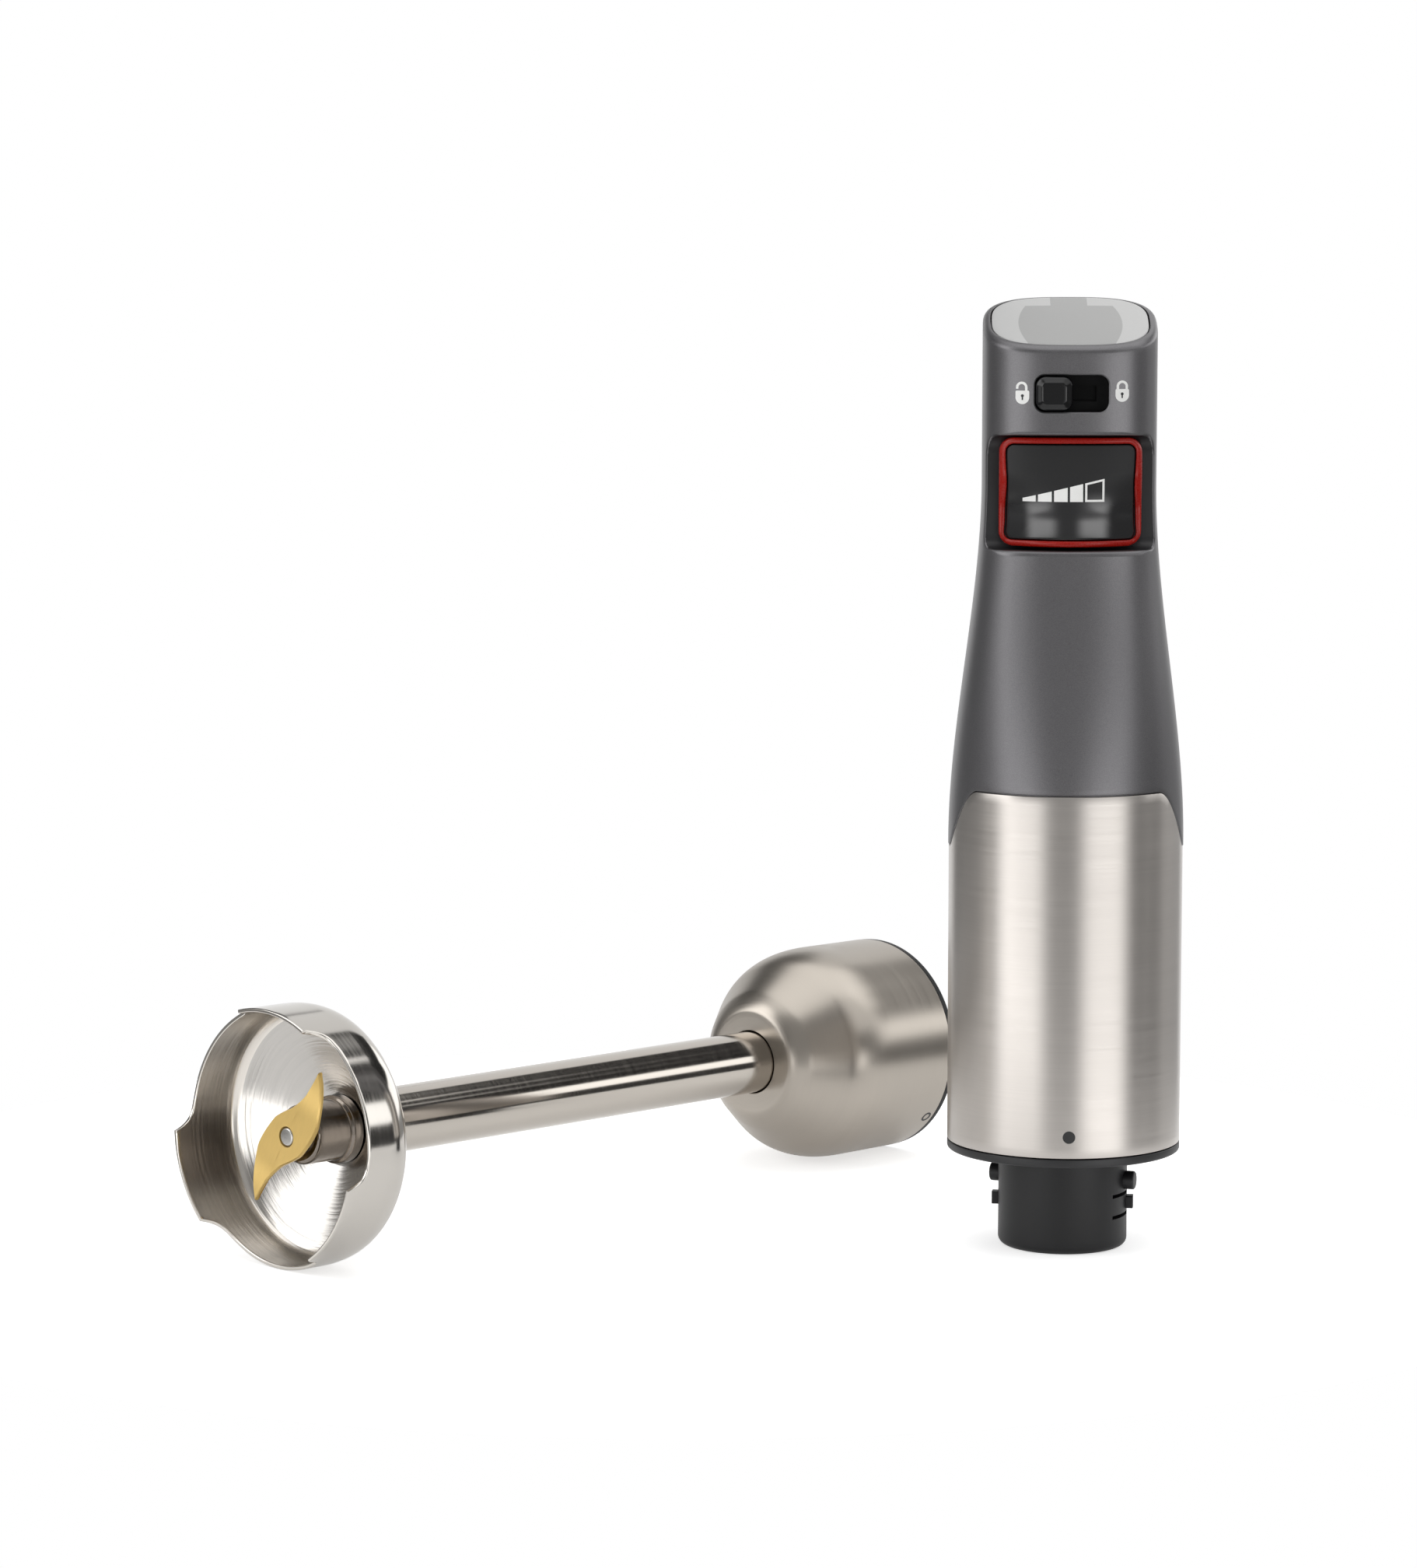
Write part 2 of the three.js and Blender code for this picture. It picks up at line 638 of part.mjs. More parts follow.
function triggerRim() {
  const rings = [0, 0.6, rimWidth - 0.5, rimWidth].map(triggerOutline);
  const section = turn => {
    const k = Math.round(turn * triggerPoints);
    const [outer, a, b, inner] = rings.map(ring => ring[k]);
    const back = p => v3(p.x, Math.min(triggerFace(p.x, p.y) + rimDepth, triggerBack(p.y)), p.y);
    return [
      back(outer),
      facePoint(outer, 1, 0.6),
      facePoint(a, 1, -rimProud),
      facePoint(b, 1, -rimProud),
      facePoint(inner, 1, 0.1),
      back(inner),
    ];
  };
  return piece('trigger_rim', swept(section, evenTurns(triggerPoints)), 'red');
}

function triggerPin() {
  const pin = barX(pivotRadius, -pivotHalfLength, pivotHalfLength, pivotY, pivotHeight);
  return piece('trigger_pin', pin, 'steel');
}

// Compression spring between the notch floor and the underside of the trigger.
function triggerSpring() {
  const near = notchFloor - springWire - gap / 2;
  const far = triggerFace(0, springHeight) + triggerWall + springWire + gap / 2;
  class Helix extends THREE.Curve {
    getPoint(t, target = v3(0, 0, 0)) {
      const a = t * springTurns * 2 * Math.PI;
      const [x, z] = [springRadius * Math.cos(a), springRadius * Math.sin(a)];
      return target.set(x, mix(near, far, t), springHeight + z);
    }
  }
  const wire = new THREE.Shape().absarc(0, 0, springWire, 0, 2 * Math.PI);
  const path = new Helix();
  return piece('trigger_spring', new THREE.ExtrudeGeometry(wire, {
    steps: springTurns * 9, extrudePath: path, curveSegments: 2,
  }), 'steel');
}

// ---------------------------------------------------------------- lock slider
const trayFront = -(gripHalfWidth * gripDepthRatio - handleWall) + gap;
const trayFloor = trayFront + trayDepth;
const knobFront = -(gripHalfWidth * gripDepthRatio + knobProud);
const knobCentre = -slotHalfLength + gap + knobLength / 2;
const slideTravel = 2 * (slotHalfLength - gap) - knobLength;

function lockTray() {
  const outline = roundedRect(slotHalfLength + trayWall, trayTop - gap, trayWall, 0, slotHeight);
  const pocketOutline = roundedRect(slotHalfLength, slotHalfHeight, slotCorner, 0, slotHeight);
  const outer = alongY(outline, trayFront, trayFloor + trayWall);
  const pocket = alongY(pocketOutline, trayFront - 1, trayFloor);
  const slitHalf = stemWidth / 2 + gap;
  const slit = block(
    [knobCentre - slitHalf, trayFloor - 1, slotHeight - slitHalf],
    [knobCentre + slideTravel + slitHalf, trayFloor + 2 * trayWall, slotHeight + slitHalf]);
  return piece('lock_tray', cut(solid(outer), solid(pocket), solid(slit)), 'black');
}

function lockSlider() {
  const outline = roundedRect(knobLength / 2 - knobBevel, slotHalfHeight - gap - knobBevel, 1, 0, 0);
  const depth = trayFloor - gap - knobFront;
  const knob = new THREE.ExtrudeGeometry(outline, {
    depth: depth - 2 * knobRound,
    bevelEnabled: true,
    bevelThickness: knobRound,
    bevelSize: knobBevel,
    bevelSegments: 2,
    curveSegments: 2,
  }).translate(0, 0, knobRound - knobFront - depth).rotateX(Math.PI / 2).translate(knobCentre, 0, slotHeight);
  const plateFront = trayFloor + trayWall + gap;
  const stem = block(
    [knobCentre - stemWidth / 2, trayFloor - 2, slotHeight - stemWidth / 2],
    [knobCentre + stemWidth / 2, plateFront + boltThickness / 2, slotHeight + stemWidth / 2]);
  const bolt = block(
    [knobCentre - stemWidth, plateFront, slotHeight - slotHalfHeight],
    [knobCentre + stemWidth, plateFront + boltThickness, slotHeight + slotHalfHeight / 2]);
  return piece('lock_slider', join(solid(knob), solid(stem), solid(bolt)), 'black');
}

// ---------------------------------------------------------------- sleeve, base, collar
// Ring sector between two angles from the front, wide enough to cut right through the collar.
function arcCut(from, to, low, high) {
  const [a, b] = [(from - 90) * deg, (to - 90) * deg];
  const sector = new THREE.Shape();
  sector.absarc(0, 0, collarReach, a, b, false);
  sector.absarc(0, 0, collarBore - 1, b, a, true);
  return solid(prism(sector, low, high, 6));
}

const collarReach = collarRadius + 4;
function steelSleeve() {
  const section = turn => {
    const angle = turn * 2 * Math.PI;
    const top = seamHeight(angle);
    return [
      barrelPoint(angle, sleeveRadius - sleeveWall, sleeveBottom),
      barrelPoint(angle, sleeveRadius, sleeveBottom),
      barrelPoint(angle, sleeveRadius, top),
      barrelPoint(angle, sleeveRadius - sleeveWall, top),
    ];
  };
  return piece('steel_sleeve', swept(section, evenTurns(bodySteps)), 'steel');
}

const collarScrewAngles = [90, 210, 330];
const headRoomDepth = 1.2; // how deep the screw heads are sunk in the base ring
const baseTop = baseBottom + baseThickness;
const flangeBottom = baseTop + gap;
const lowerBracketTop = lowerBracketBottom + bracketThickness;
const flangeTop = flangeBottom + collarFlangeThickness;

// Moves something made on the axis out to a circle, at an angle from +X.
function atCircle(geometry, circle, angle) {
  return geometry.translate(circle * Math.cos(angle * deg), circle * Math.sin(angle * deg), 0);
}

function baseRing() {
  const ring = turned([
    [collarRadius + gap, baseBottom], [sleeveRadius - 0.6, baseBottom], [sleeveRadius, baseBottom + 0.6],
    [sleeveRadius, baseTop], [collarRadius + gap, baseTop]]);
  const holes = collarScrewAngles.flatMap(a => [
    solid(atCircle(bar(screwRadius + gap, baseBottom - 1, baseTop + 1), collarScrewCircle, a)),
    solid(atCircle(bar(screwHead + gap, baseBottom - 1, baseBottom + headRoomDepth), collarScrewCircle, a)),
  ]);
  return piece('base_ring', cut(solid(ring), ...holes), 'black');
}

function collarScrew(index) {
  const screw = join(
    solid(bar(screwHead, baseBottom + 0.1, baseBottom + headRoomDepth - gap / 2)),
    solid(bar(screwRadius, baseBottom + headRoomDepth / 2, lowerBracketTop - 0.5)));
  const g = atCircle(shape(screw), collarScrewCircle, collarScrewAngles[index]);
  return piece(`collar_screw_${index + 1}`, g, 'steel');
}

function couplingCollar() {
  const foot = [30, 60, 90].map(a => [
    collarRadius - collarFoot * (1 - Math.sin(a * deg)), collarFoot * (1 - Math.cos(a * deg))]);
  const tube = turned([
    [collarBore, 0], [collarRadius - collarFoot, 0], ...foot, [collarRadius, flangeBottom],
    [collarFlangeRadius, flangeBottom], [collarFlangeRadius, flangeTop], [collarBore, flangeTop]], ringSteps);
  const boss = angle => solid(fromFront(
    bar(bossRadius, collarBore + 1, bossReach).rotateY(90 * deg).translate(0, 0, bossHeight), angle));
  const lug = angle => solid(fromFront(block(
    [collarBore + 1, -catchSize / 2, catchHeight - catchSize / 2],
    [catchReach, catchSize / 2, catchHeight + catchSize / 2]), angle));
  // Slits that free a tongue: its free end lies just past the catch, its root towards the front.
  const slits = angle => {
    const end = angle + tongueEnd;
    const root = end - tongueSpan;
    const [low, high] = [catchHeight - tongueHalfHeight, catchHeight + tongueHalfHeight];
    return [
      arcCut(root, end, high, high + tongueSlit),
      arcCut(root, end, low - tongueSlit, low),
      arcCut(end - tongueEndSlit, end, low - tongueSlit, high + tongueSlit),
    ];
  };
  const hole = a => {
    return solid(atCircle(bar(screwRadius + gap, flangeBottom - 1, flangeTop + 1), collarScrewCircle, a));
  };
  const sides = [0, 180];
  const bosses = sides.map(turn => boss(bossAngle + turn));
  const lugs = sides.map(turn => lug(catchAngle + turn));
  const body = join(solid(tube), ...bosses, ...lugs);
  const cuts = [...sides.flatMap(turn => slits(catchAngle + turn)), ...collarScrewAngles.map(hole)];
  return piece('coupling_collar', cut(body, ...cuts), 'black');
}

// ---------------------------------------------------------------- motor
const stackTop = stackBottom + stackLength;
const coilOverhang = 3.6;
const boltSpots = [90, -90];
const hubWall = 2.2;
const ventRadius = 2.8;
const ventCircle = 17;
const ventAngles = [25, -25, 155, 205];
const boltHoles = () => boltSpots.map(a => solid(atCircle(bar(boltRadius + gap, 0, seamTop), boltCircle, a)));
const bearingHeights = [lowerBracketBottom + 2, upperBracketBottom + 0.6];

// Bracket: a disc with a bearing seat, posts to the stator stack and holes for the through bolts.
function bracket(radius, bottom, seat, postLow, postHigh) {
  const hub = bearingRadius + 0.2;
  const eye = motorShaftRadius + 1.3;
  const face = bottom + bracketThickness;
  const top = seat + bearingWidth + 0.4;
  const disc = turned([
    [eye, bottom], [radius, bottom], [radius, face], [hub + hubWall, face],
    [hub + hubWall, top], [hub, top], [hub, seat - 0.2], [eye, seat - 0.2]], innerSteps);
  const posts = boltSpots.map(a => solid(atCircle(bar(postRadius, postLow, postHigh), boltCircle, a)));
  const vent = a => solid(atCircle(bar(ventRadius, bottom - 1, face + 1), ventCircle, a));
  return cut(join(solid(disc), ...posts), ...boltHoles(), ...ventAngles.map(vent));
}

function lowerBracket() {
  const radius = sleeveRadius - sleeveWall - gap;
  const body = bracket(radius, lowerBracketBottom, bearingHeights[0], lowerBracketBottom, stackBottom - gap);
  const hole = a => solid(atCircle(bar(screwRadius + gap, 0, stackBottom), collarScrewCircle, a));
  const holes = collarScrewAngles.map(hole);
  return piece('lower_bracket', cut(body, ...holes), 'frame');
}

const holderX = [commutatorRadius + 1.2, 18.6];
const holderHalf = 3;
const brushEnd = 15;
const brushHalf = 2;
const padCentre = 14; // pads that reach down to the brush holders
const brushMiddle = commutatorBottom + commutatorLength / 2;

function upperBracket() {
  const low = upperBracketBottom;
  const body = bracket(skirtInner - gap, low, bearingHeights[1], stackTop + gap, low + 1);
  const pad = turn => solid(aroundZ(block(
    [padCentre - holderHalf, -holderHalf, brushMiddle + holderHalf + gap],
    [padCentre + holderHalf, holderHalf, low + 0.5]), turn));
  return piece('upper_bracket', join(body, pad(0), pad(180)), 'frame');
}

// Ball bearing: two races with a sunk shield between them.
function motorBearing(name, height) {
  const [bore, raceWall, sunk] = [motorShaftRadius + 0.2, 1.6, 0.6];
  const top = height + bearingWidth;
  const outline = [
    [bore, height], [bearingRadius, height], [bearingRadius, top],
    [bearingRadius - raceWall, top], [bearingRadius - raceWall, top - sunk],
    [bore + raceWall, top - sunk], [bore + raceWall, top], [bore, top]];
  return piece(name, turned(outline, innerSteps), 'bearing');
}

function throughBolt(index) {
  const top = upperBracketBottom + bracketThickness;
  const bolt = join(
    solid(bar(boltRadius, lowerBracketBottom + 1, top + 0.6)),
    solid(bar(boltHead, top + gap / 2, top + 2)));
  return piece(`through_bolt_${index + 1}`, atCircle(shape(bolt), boltCircle, boltSpots[index]), 'steel');
}

// Wedge about the X axis, both sides, for pole shoes and coils.
function poleWedge(half, low, high) {
  const edge = reach * Math.tan(half * deg);
  const wedge = () => prism(new THREE.Shape([v2(0, 0), v2(reach, -edge), v2(reach, edge)]), low, high);
  return [0, 180].map(turn => solid(aroundZ(wedge(), turn)));
}

const shoeInner = armatureRadius + poleGap;
const shoeOuter = shoeInner + shoeThickness;
const yokeInner = statorRadius - yokeWall;

function statorCore() {
  const yoke = solid(bar(statorRadius, stackBottom, stackTop, yokeInner, innerSteps));
  const shoeRing = solid(bar(shoeOuter, stackBottom, stackTop, shoeInner, innerSteps));
  const shoes = poleWedge(shoeHalf, stackBottom - 1, stackTop + 1).map(w => w.intersect(shoeRing));
  const neck = turn => solid(aroundZ(block(
    [shoeInner + 1, -neckHalf, stackBottom],
    [yokeInner + 1, neckHalf, stackTop]), turn));
  const ears = boltSpots.map(a => solid(atCircle(bar(postRadius, stackBottom, stackTop), boltCircle, a)));
  return piece('stator_core', cut(join(yoke, ...shoes, neck(0), neck(180), ...ears), ...boltHoles()), 'iron');
}

function fieldCoil(index) {
  const [low, high] = [stackBottom - coilOverhang, stackTop + coilOverhang];
  const ring = solid(bar(yokeInner - 2 * gap, low, high, shoeOuter + gap, innerSteps));
  const wedge = poleWedge(coilHalf, low - 1, high + 1)[index];
  const window = solid(aroundZ(block(
    [shoeInner / 2, -neckHalf - gap, stackBottom - gap],
    [statorRadius, neckHalf + gap, stackTop + gap]), index * 180));
  return piece(`field_coil_${index + 1}`, cut(ring.intersect(wedge), window), 'copper');
}

const motorShaft = () => {
  return piece('motor_shaft', bar(motorShaftRadius, motorShaftBottom, motorShaftTop), 'steel');
};

const slotCount = 8;
const coreBore = motorShaftRadius + gap / 2;
const slotBottom = 6.2;
const slotTop = 10.8;
const slotHalf = 1.9;
const windingHead = 4; // how far the winding stands out of the core

function armatureSlots(inset, low, high) {
  return Array.from({ length: slotCount }, (_, i) => {
    const half = slotHalf - inset;
    const slot = block([slotBottom + inset, -half, low], [slotTop - inset, half, high]);
    return solid(aroundZ(slot, (i + 0.5) * 360 / slotCount));
  });
}

function armatureCore() {
  const drum = solid(bar(armatureRadius, stackBottom, stackTop, coreBore, innerSteps));
  return piece('armature_core', cut(drum, ...armatureSlots(0, stackBottom - 1, stackTop + 1)), 'iron');
}

function armatureWinding() {
  const head = () => turned([
    [coreBore + 1, 0.8], [coreBore + 2, 0], [slotTop - 1.5, 0], [slotTop, 1.2],
    [slotTop, windingHead], [coreBore + 1, windingHead]], smallSteps + 4);
  const lower = head().translate(0, 0, stackBottom - gap - windingHead);
  const upper = head().rotateX(Math.PI).translate(0, 0, stackTop + gap + windingHead);
  const wires = armatureSlots(gap, stackBottom - 1, stackTop + 1);
  return piece('armature_winding', join(solid(lower), solid(upper), ...wires), 'copper');
}

function commutator() {
  const top = commutatorBottom + commutatorLength;
  const drum = solid(bar(commutatorRadius, commutatorBottom, top, coreBore, 2 * slotCount));
  const slits = Array.from({ length: slotCount }, (_, i) => solid(aroundZ(block(
    [commutatorRadius - 0.7, -0.25, commutatorBottom - 1],
    [commutatorRadius + 1, 0.25, top - 1.5]), (i + 0.5) * 360 / slotCount)));
  return piece('commutator', cut(drum, ...slits), 'copper');
}

function brushHolder(index) {
  const box = (from, to, half) => {
    const made = block([from, -half, brushMiddle - half], [to, half, brushMiddle + half]);
    return solid(aroundZ(made, index * 180));
  };
  const tube = cut(box(holderX[0], holderX[1], holderHalf), box(0, reach, brushHalf + gap));
  const brush = box(commutatorRadius + 0.2, brushEnd, brushHalf);
  return [
    piece(`brush_holder_${index + 1}`, tube, 'brass'),
    piece(`carbon_brush_${index + 1}`, brush, 'carbon'),
  ];
}

function coolingFan() {
  const [low, high] = [fanBottom, fanBottom + fanHeight];
  const plate = turned([
    [coreBore, low], [fanHub, low], [fanHub, low + 1], [fanRadius, low + 1], [fanRadius, low + 2],
    [fanHub, low + 2], [fanHub, high], [coreBore, high]], innerSteps);
  const blades = Array.from({ length: fanBlades }, (_, i) => {
    const blade = block([fanHub + 1.5, -0.6, low + 1.5], [fanRadius - 0.5, 0.6, high]).rotateZ(18 * deg);
    return solid(aroundZ(blade, i * 360 / fanBlades));
  });
  return piece('cooling_fan', join(solid(plate), ...blades), 'frame');
}

// Star outline shared by the two halves of the shaft coupling.
function star(outer, inner, points = 6) {
  const corners = Array.from({ length: points * 2 }, (_, i) => {
    const r = i % 2 ? inner : outer;
    return v2(r * Math.cos(i * Math.PI / points), r * Math.sin(i * Math.PI / points));
  });
  return new THREE.Shape(corners);
}

function driveCoupling() {
  const [low, high] = [driveCouplingBottom, driveCouplingTop];
  const drum = solid(turned([
    [coreBore, low], [driveCouplingRadius - 1, low], [driveCouplingRadius, low + 1],
    [driveCouplingRadius, high], [coreBore, high]], innerSteps));
  const socket = prism(star(splineRadius, splineInner), low - 1, low + splineDepth);
  return piece('drive_coupling', cut(drum, solid(socket)), 'black');
}

// ---------------------------------------------------------------- electronics and cord inlet
const boardFront = boardY - gap;

function controlBoard() {
  const back = boardY + boardThickness;
  const plate = block([-boardHalfWidth, boardY, boardBottom], [boardHalfWidth, back, boardTop]);
  return piece('control_board', plate, 'board');
}

function triac() {
  const low = boardBottom + 38;
  const tab = block([-12, boardFront - 1.2, low], [-1, boardFront, low + 22]);
  const body = block([-11, boardFront - 4.6, low], [-2, boardFront - 1, low + 10]);
  return piece('power_triac', join(solid(tab), solid(body)), 'black');
}

function capacitor() {
  const low = boardBottom + 10;
  return piece('noise_capacitor', block([-9, boardFront - 8, low], [9, boardFront, low + 14]), 'cap');
}

function choke() {
  const coil = bar(4, -15, 0, 1.6).rotateX(-90 * deg);
  return piece('choke_coil', coil.translate(6, boardFront, boardBottom + 32), 'copper');
}

function travelSensor() {
  const front = notchFloor + notchWall + 2;
  const foot = block([-5, front, ribHeight - 5], [5, boardFront, ribHeight + 5]);
  const ribTravel = Math.sin(pressAngle * deg) * (pivotHeight - ribHeight + ribSize / 2);
  const nose = barY(1.8, ribEnd + ribTravel + gap, front + gap, 0, ribHeight);
  return piece('travel_sensor', join(solid(foot), solid(nose)), 'black');
}

// Board slots: two rails that hold the board's edges, standing on the back shell side of the board.
function boardFrame() {
  const front = boardY + boardThickness + gap;
  const back = front + 2.7;
  const rail = side => solid(block(
    [side * boardHalfWidth - 2, front, boardBottom],
    [side * boardHalfWidth + 2, back, boardTop - 2]));
  const rung = z => solid(block([-boardHalfWidth - 1, front + 1.1, z], [boardHalfWidth + 1, back, z + 5]));
  const rungs = [boardBottom + 6, (boardBottom + boardTop) / 2, boardTop - 12].map(rung);
  return piece('board_frame', join(rail(-1), rail(1), ...rungs), 'frame');
}

function cordGland() {
  const outside = gripHalfWidth * gripDepthRatio;
  const inner = outside - handleWall - 5;
  const lip = outside + 2.2;
  const profile = [
    [glandBore, inner], [glandRadius, inner], [glandRadius, outside + gap],
    [glandRadius + 1.4, outside + gap], [glandRadius + 1.2, outside + 1.6],
    [glandBore + 1.2, lip], [glandBore, lip]];
  const gland = turned(profile, innerSteps).rotateX(-90 * deg).translate(0, 0, glandHeight);
  return piece('cord_gland', gland, 'rubber');
}

// ---------------------------------------------------------------- blending shaft, about its own axis
// Coupling cone: straight, rounded over, slanted, then a flat face around the tube.
function coneOutline(inset, curveSteps) {
  const path = new THREE.Path();
  const slantStart = 2 * coneCorner - coneShoulder - coneRound;
  const slantEnd = coneLength - 2.1;
  const slant = s => coneRadius - coneSlope * (s - coneCorner) - inset;
  const [radius, face] = [coneRadius - inset, coneLength - inset];
  path.moveTo(radius, linerRim + gap / 2);
  path.lineTo(radius, coneShoulder - inset / 2);
  path.quadraticCurveTo(radius, coneCorner - inset / 2, slant(slantStart), slantStart);
  path.lineTo(slant(slantEnd), slantEnd);
  path.quadraticCurveTo(coneFaceRadius + 0.9 - inset, face, coneFaceRadius - inset, face);
  path.lineTo(tubeRadius + 2 * gap, face);
  return path.getPoints(curveSteps).map(p => [p.x, p.y]);
}

function couplingCone() {
  const outline = [...coneOutline(0, 3), ...coneOutline(coneWall, 2).reverse()];
  return piece('coupling_cone', turned(outline, ringSteps), 'steel');
}

// Bayonet socket inside the cone, with grooves for the collar's bosses and catches.
function coneLiner() {
  const bore = collarRadius + 2 * gap;
  const outer = bore + linerWall;
  const web = linerDepth + linerWeb;
  const hub = tubeRadius + gap;
  const skirt = coneRadius - coneWall - gap;
  const eye = rodRadius + 2;
  const tube = turned([
    [bore, 0], [coneRadius - 0.2, 0], [coneRadius - 0.2, linerRim], [skirt, linerRim], [skirt, linerRim + 2],
    [outer, linerRim + 2], [outer, linerDepth - 2], [skirt - 0.6, linerDepth - 2], [skirt - 0.6, web - 2],
    [hub + 3, web], [hub + 3, web + linerHub], [hub, web + linerHub], [hub, web], [eye, web],
    [eye, linerDepth], [bore, linerDepth]], innerSteps);
  const groove = (angle, depth, half, end) => {
    return solid(fromFront(block([bore - 2, -half, -1], [depth + 2 * gap, half, end]), angle));
  };
  // Heights on the collar are measured from the floor; the cone's rim seats on the base ring.
  const bossDepth = baseBottom - bossHeight;
  const bossRoom = bossRadius + gap;
  const grooves = [0, 180].flatMap(turn => [
    groove(turn, bossReach, bossRoom, bossDepth + bossRoom),
    groove(turn + turnAngle, catchReach, catchSize / 2 + gap, baseBottom - catchHeight + catchSize),
  ]);
  const ring = bar(bossReach + 2 * gap, bossDepth - bossRoom, bossDepth + bossRoom, bore - 2, innerSteps);
  const sector = () => new THREE.Shape([
    v2(0, 0), v2(coneRadius, 0), v2(coneRadius, coneRadius * Math.tan(turnAngle * deg))]);
  const turnRoom = [0, 180].map(turn => {
    return solid(ring).intersect(solid(fromFront(prism(sector(), 0, linerDepth), turn)));
  });
  return piece('cone_liner', cut(solid(tube), ...grooves, ...turnRoom), 'black');
}

const tubeStart = linerDepth + linerWeb + gap;
const tubeEnd = shaftLength - ceilingHub - 2.3;
function shaftTube() {
  const tube = bar(tubeRadius, tubeStart, tubeEnd, tubeRadius - tubeWall, innerSteps);
  return piece('shaft_tube', tube, 'polished');
}

// Turns, as fractions, at which the bell's rim is drawn: close together down the lobes' flanks.
function rimTurns() {
  const flank = [0, 1.5, 4, 9];
  const third = 360 / lobeCount;
  const valley = third - 2 * (lobeHalf + flank[flank.length - 1]);
  const half = [
    ...[0, 0.5].map(t => t * lobeHalf), ...flank.map(f => lobeHalf + f),
    lobeHalf + flank[flank.length - 1] + valley / 4];
  const whole = [...half, third / 2, ...half.slice(1).reverse().map(a => third - a)];
  const lobe = k => whole.map(a => (lobeAngle + k * third + a) / 360 % 1);
  return Array.from({ length: lobeCount }, (_, k) => lobe(k)).flat().sort((a, b) => a - b);
}

// How far the bell's rim is cut back at an angle: nothing on a lobe, easing to the full notch beside it.
function rimNotch(angle) {
  const third = 360 / lobeCount;
  const from = Math.abs(((angle - lobeAngle) % third + 1.5 * third) % third - third / 2);
  return lobeDepth * (1 - Math.exp(-Math.max(0, from - lobeHalf) / lobeEase));
}

function bellSection(turn) {
  const angle = turn * 360;
  const rim = shaftLength - rimNotch(angle);
  const behind = depth => shaftLength - depth; // height at a depth behind the full rim
  const [neck, seat, spigot] = [bellNeckRadius, tubeRadius + gap, hubSpigotRadius + gap];
  const outline = new THREE.Path();
  outline.moveTo(bellRadius, rim);
  outline.lineTo(bellRadius, behind(bellStraight));
  outline.quadraticCurveTo(bellRadius, behind(bellCorner), bellShoulderRadius, behind(bellShoulderBack));
  outline.lineTo(neck + 3, behind(bellNeckFront - 1.1));
  outline.quadraticCurveTo(neck, behind(bellNeckFront), neck, behind(bellNeckFront + 2));
  outline.lineTo(neck, behind(bellNeckBack));
  outline.lineTo(seat, behind(bellNeckBack));
  outline.lineTo(seat, tubeEnd + gap);
  outline.lineTo(spigot, tubeEnd + gap);
  outline.lineTo(spigot, behind(ceilingHub));
  outline.lineTo(hubBaseRadius + 0.5, behind(ceilingHub));
  outline.lineTo(bellRadius - bellWall, behind(ceilingRim));
  outline.lineTo(bellRadius - bellWall, rim);
  return outline.getPoints(3).map(p => v3(p.x * Math.cos(angle * deg), p.x * Math.sin(angle * deg), p.y));
}

const bellGuard = () => piece('bell_guard', swept(bellSection, rimTurns()), 'polished');

const hubFace = shaftLength - hubFront;
const hubBase = shaftLength - ceilingHub + gap;
const bushLength = 9;
const sealLength = 3;

function bellHub() {
  const bore = bushRadius + 0.2;
  const [bushBack, spigotBack] = [hubFace - bushLength - 4, hubBase - hubSpigotLength];
  const profile = [
    [bore, hubFace], [hubFrontRadius - 0.6, hubFace], [hubFrontRadius, hubFace - 0.7],
    [hubBaseRadius, hubBase + 1], [hubBaseRadius, hubBase], [hubSpigotRadius, hubBase],
    [hubSpigotRadius, spigotBack], [bushRadius - 1, spigotBack],
    [bushRadius - 1, bushBack], [bore, bushBack]];
  return piece('bell_hub', turned(profile, innerSteps), 'steel');
}

// Ring around the drive rod that reaches from one place on the shaft's axis to another.
const rodRing = (name, radius, from, to, material) => {
  return piece(name, bar(radius, from, to, rodRadius + 0.2), material);
};
const sealBack = hubFace - gap - sealLength;
const lowerBush = () => {
  return rodRing('lower_bush', bushRadius, sealBack - gap - bushLength, sealBack - gap, 'brass');
};
const shaftSeal = () => rodRing('shaft_seal', bushRadius, sealBack, hubFace - gap, 'rubber');
const upperBush = () => {
  return rodRing('upper_bush', tubeRadius - tubeWall - 0.2, tubeStart + 12, tubeStart + 20, 'brass');
};

const bladeBack = shaftLength - bladeFront - bladeThickness;

function driveRod() {
  const [top, stub, shoulder] = [drivenTop + rodSeat, bladeHole - gap, bladeBack - gap / 2];
  const profile = [
    [0, top], [rodRadius, top], [rodRadius, hubFace + gap], [rodShoulderRadius, hubFace + gap],
    [rodShoulderRadius, shoulder], [stub, shoulder], [stub, shaftLength - bladeFront],
    [0, shaftLength - bladeFront]];
  return piece('drive_rod', turned(profile, smallSteps), 'steel');
}

function drivenCoupling() {
  const [outer, inner] = [splineRadius - 2 * gap, splineInner - 2 * gap];
  const male = solid(prism(star(outer, inner), drivenTop, drivenTop + 10));
  const collar = solid(bar(drivenRadius, drivenTop + 9, drivenTop + 13, 0, innerSteps));
  const bore = solid(bar(rodRadius + gap / 2, drivenTop + rodSeat - gap, drivenTop + 20));
  return piece('driven_coupling', cut(join(male, collar), bore), 'black');
}

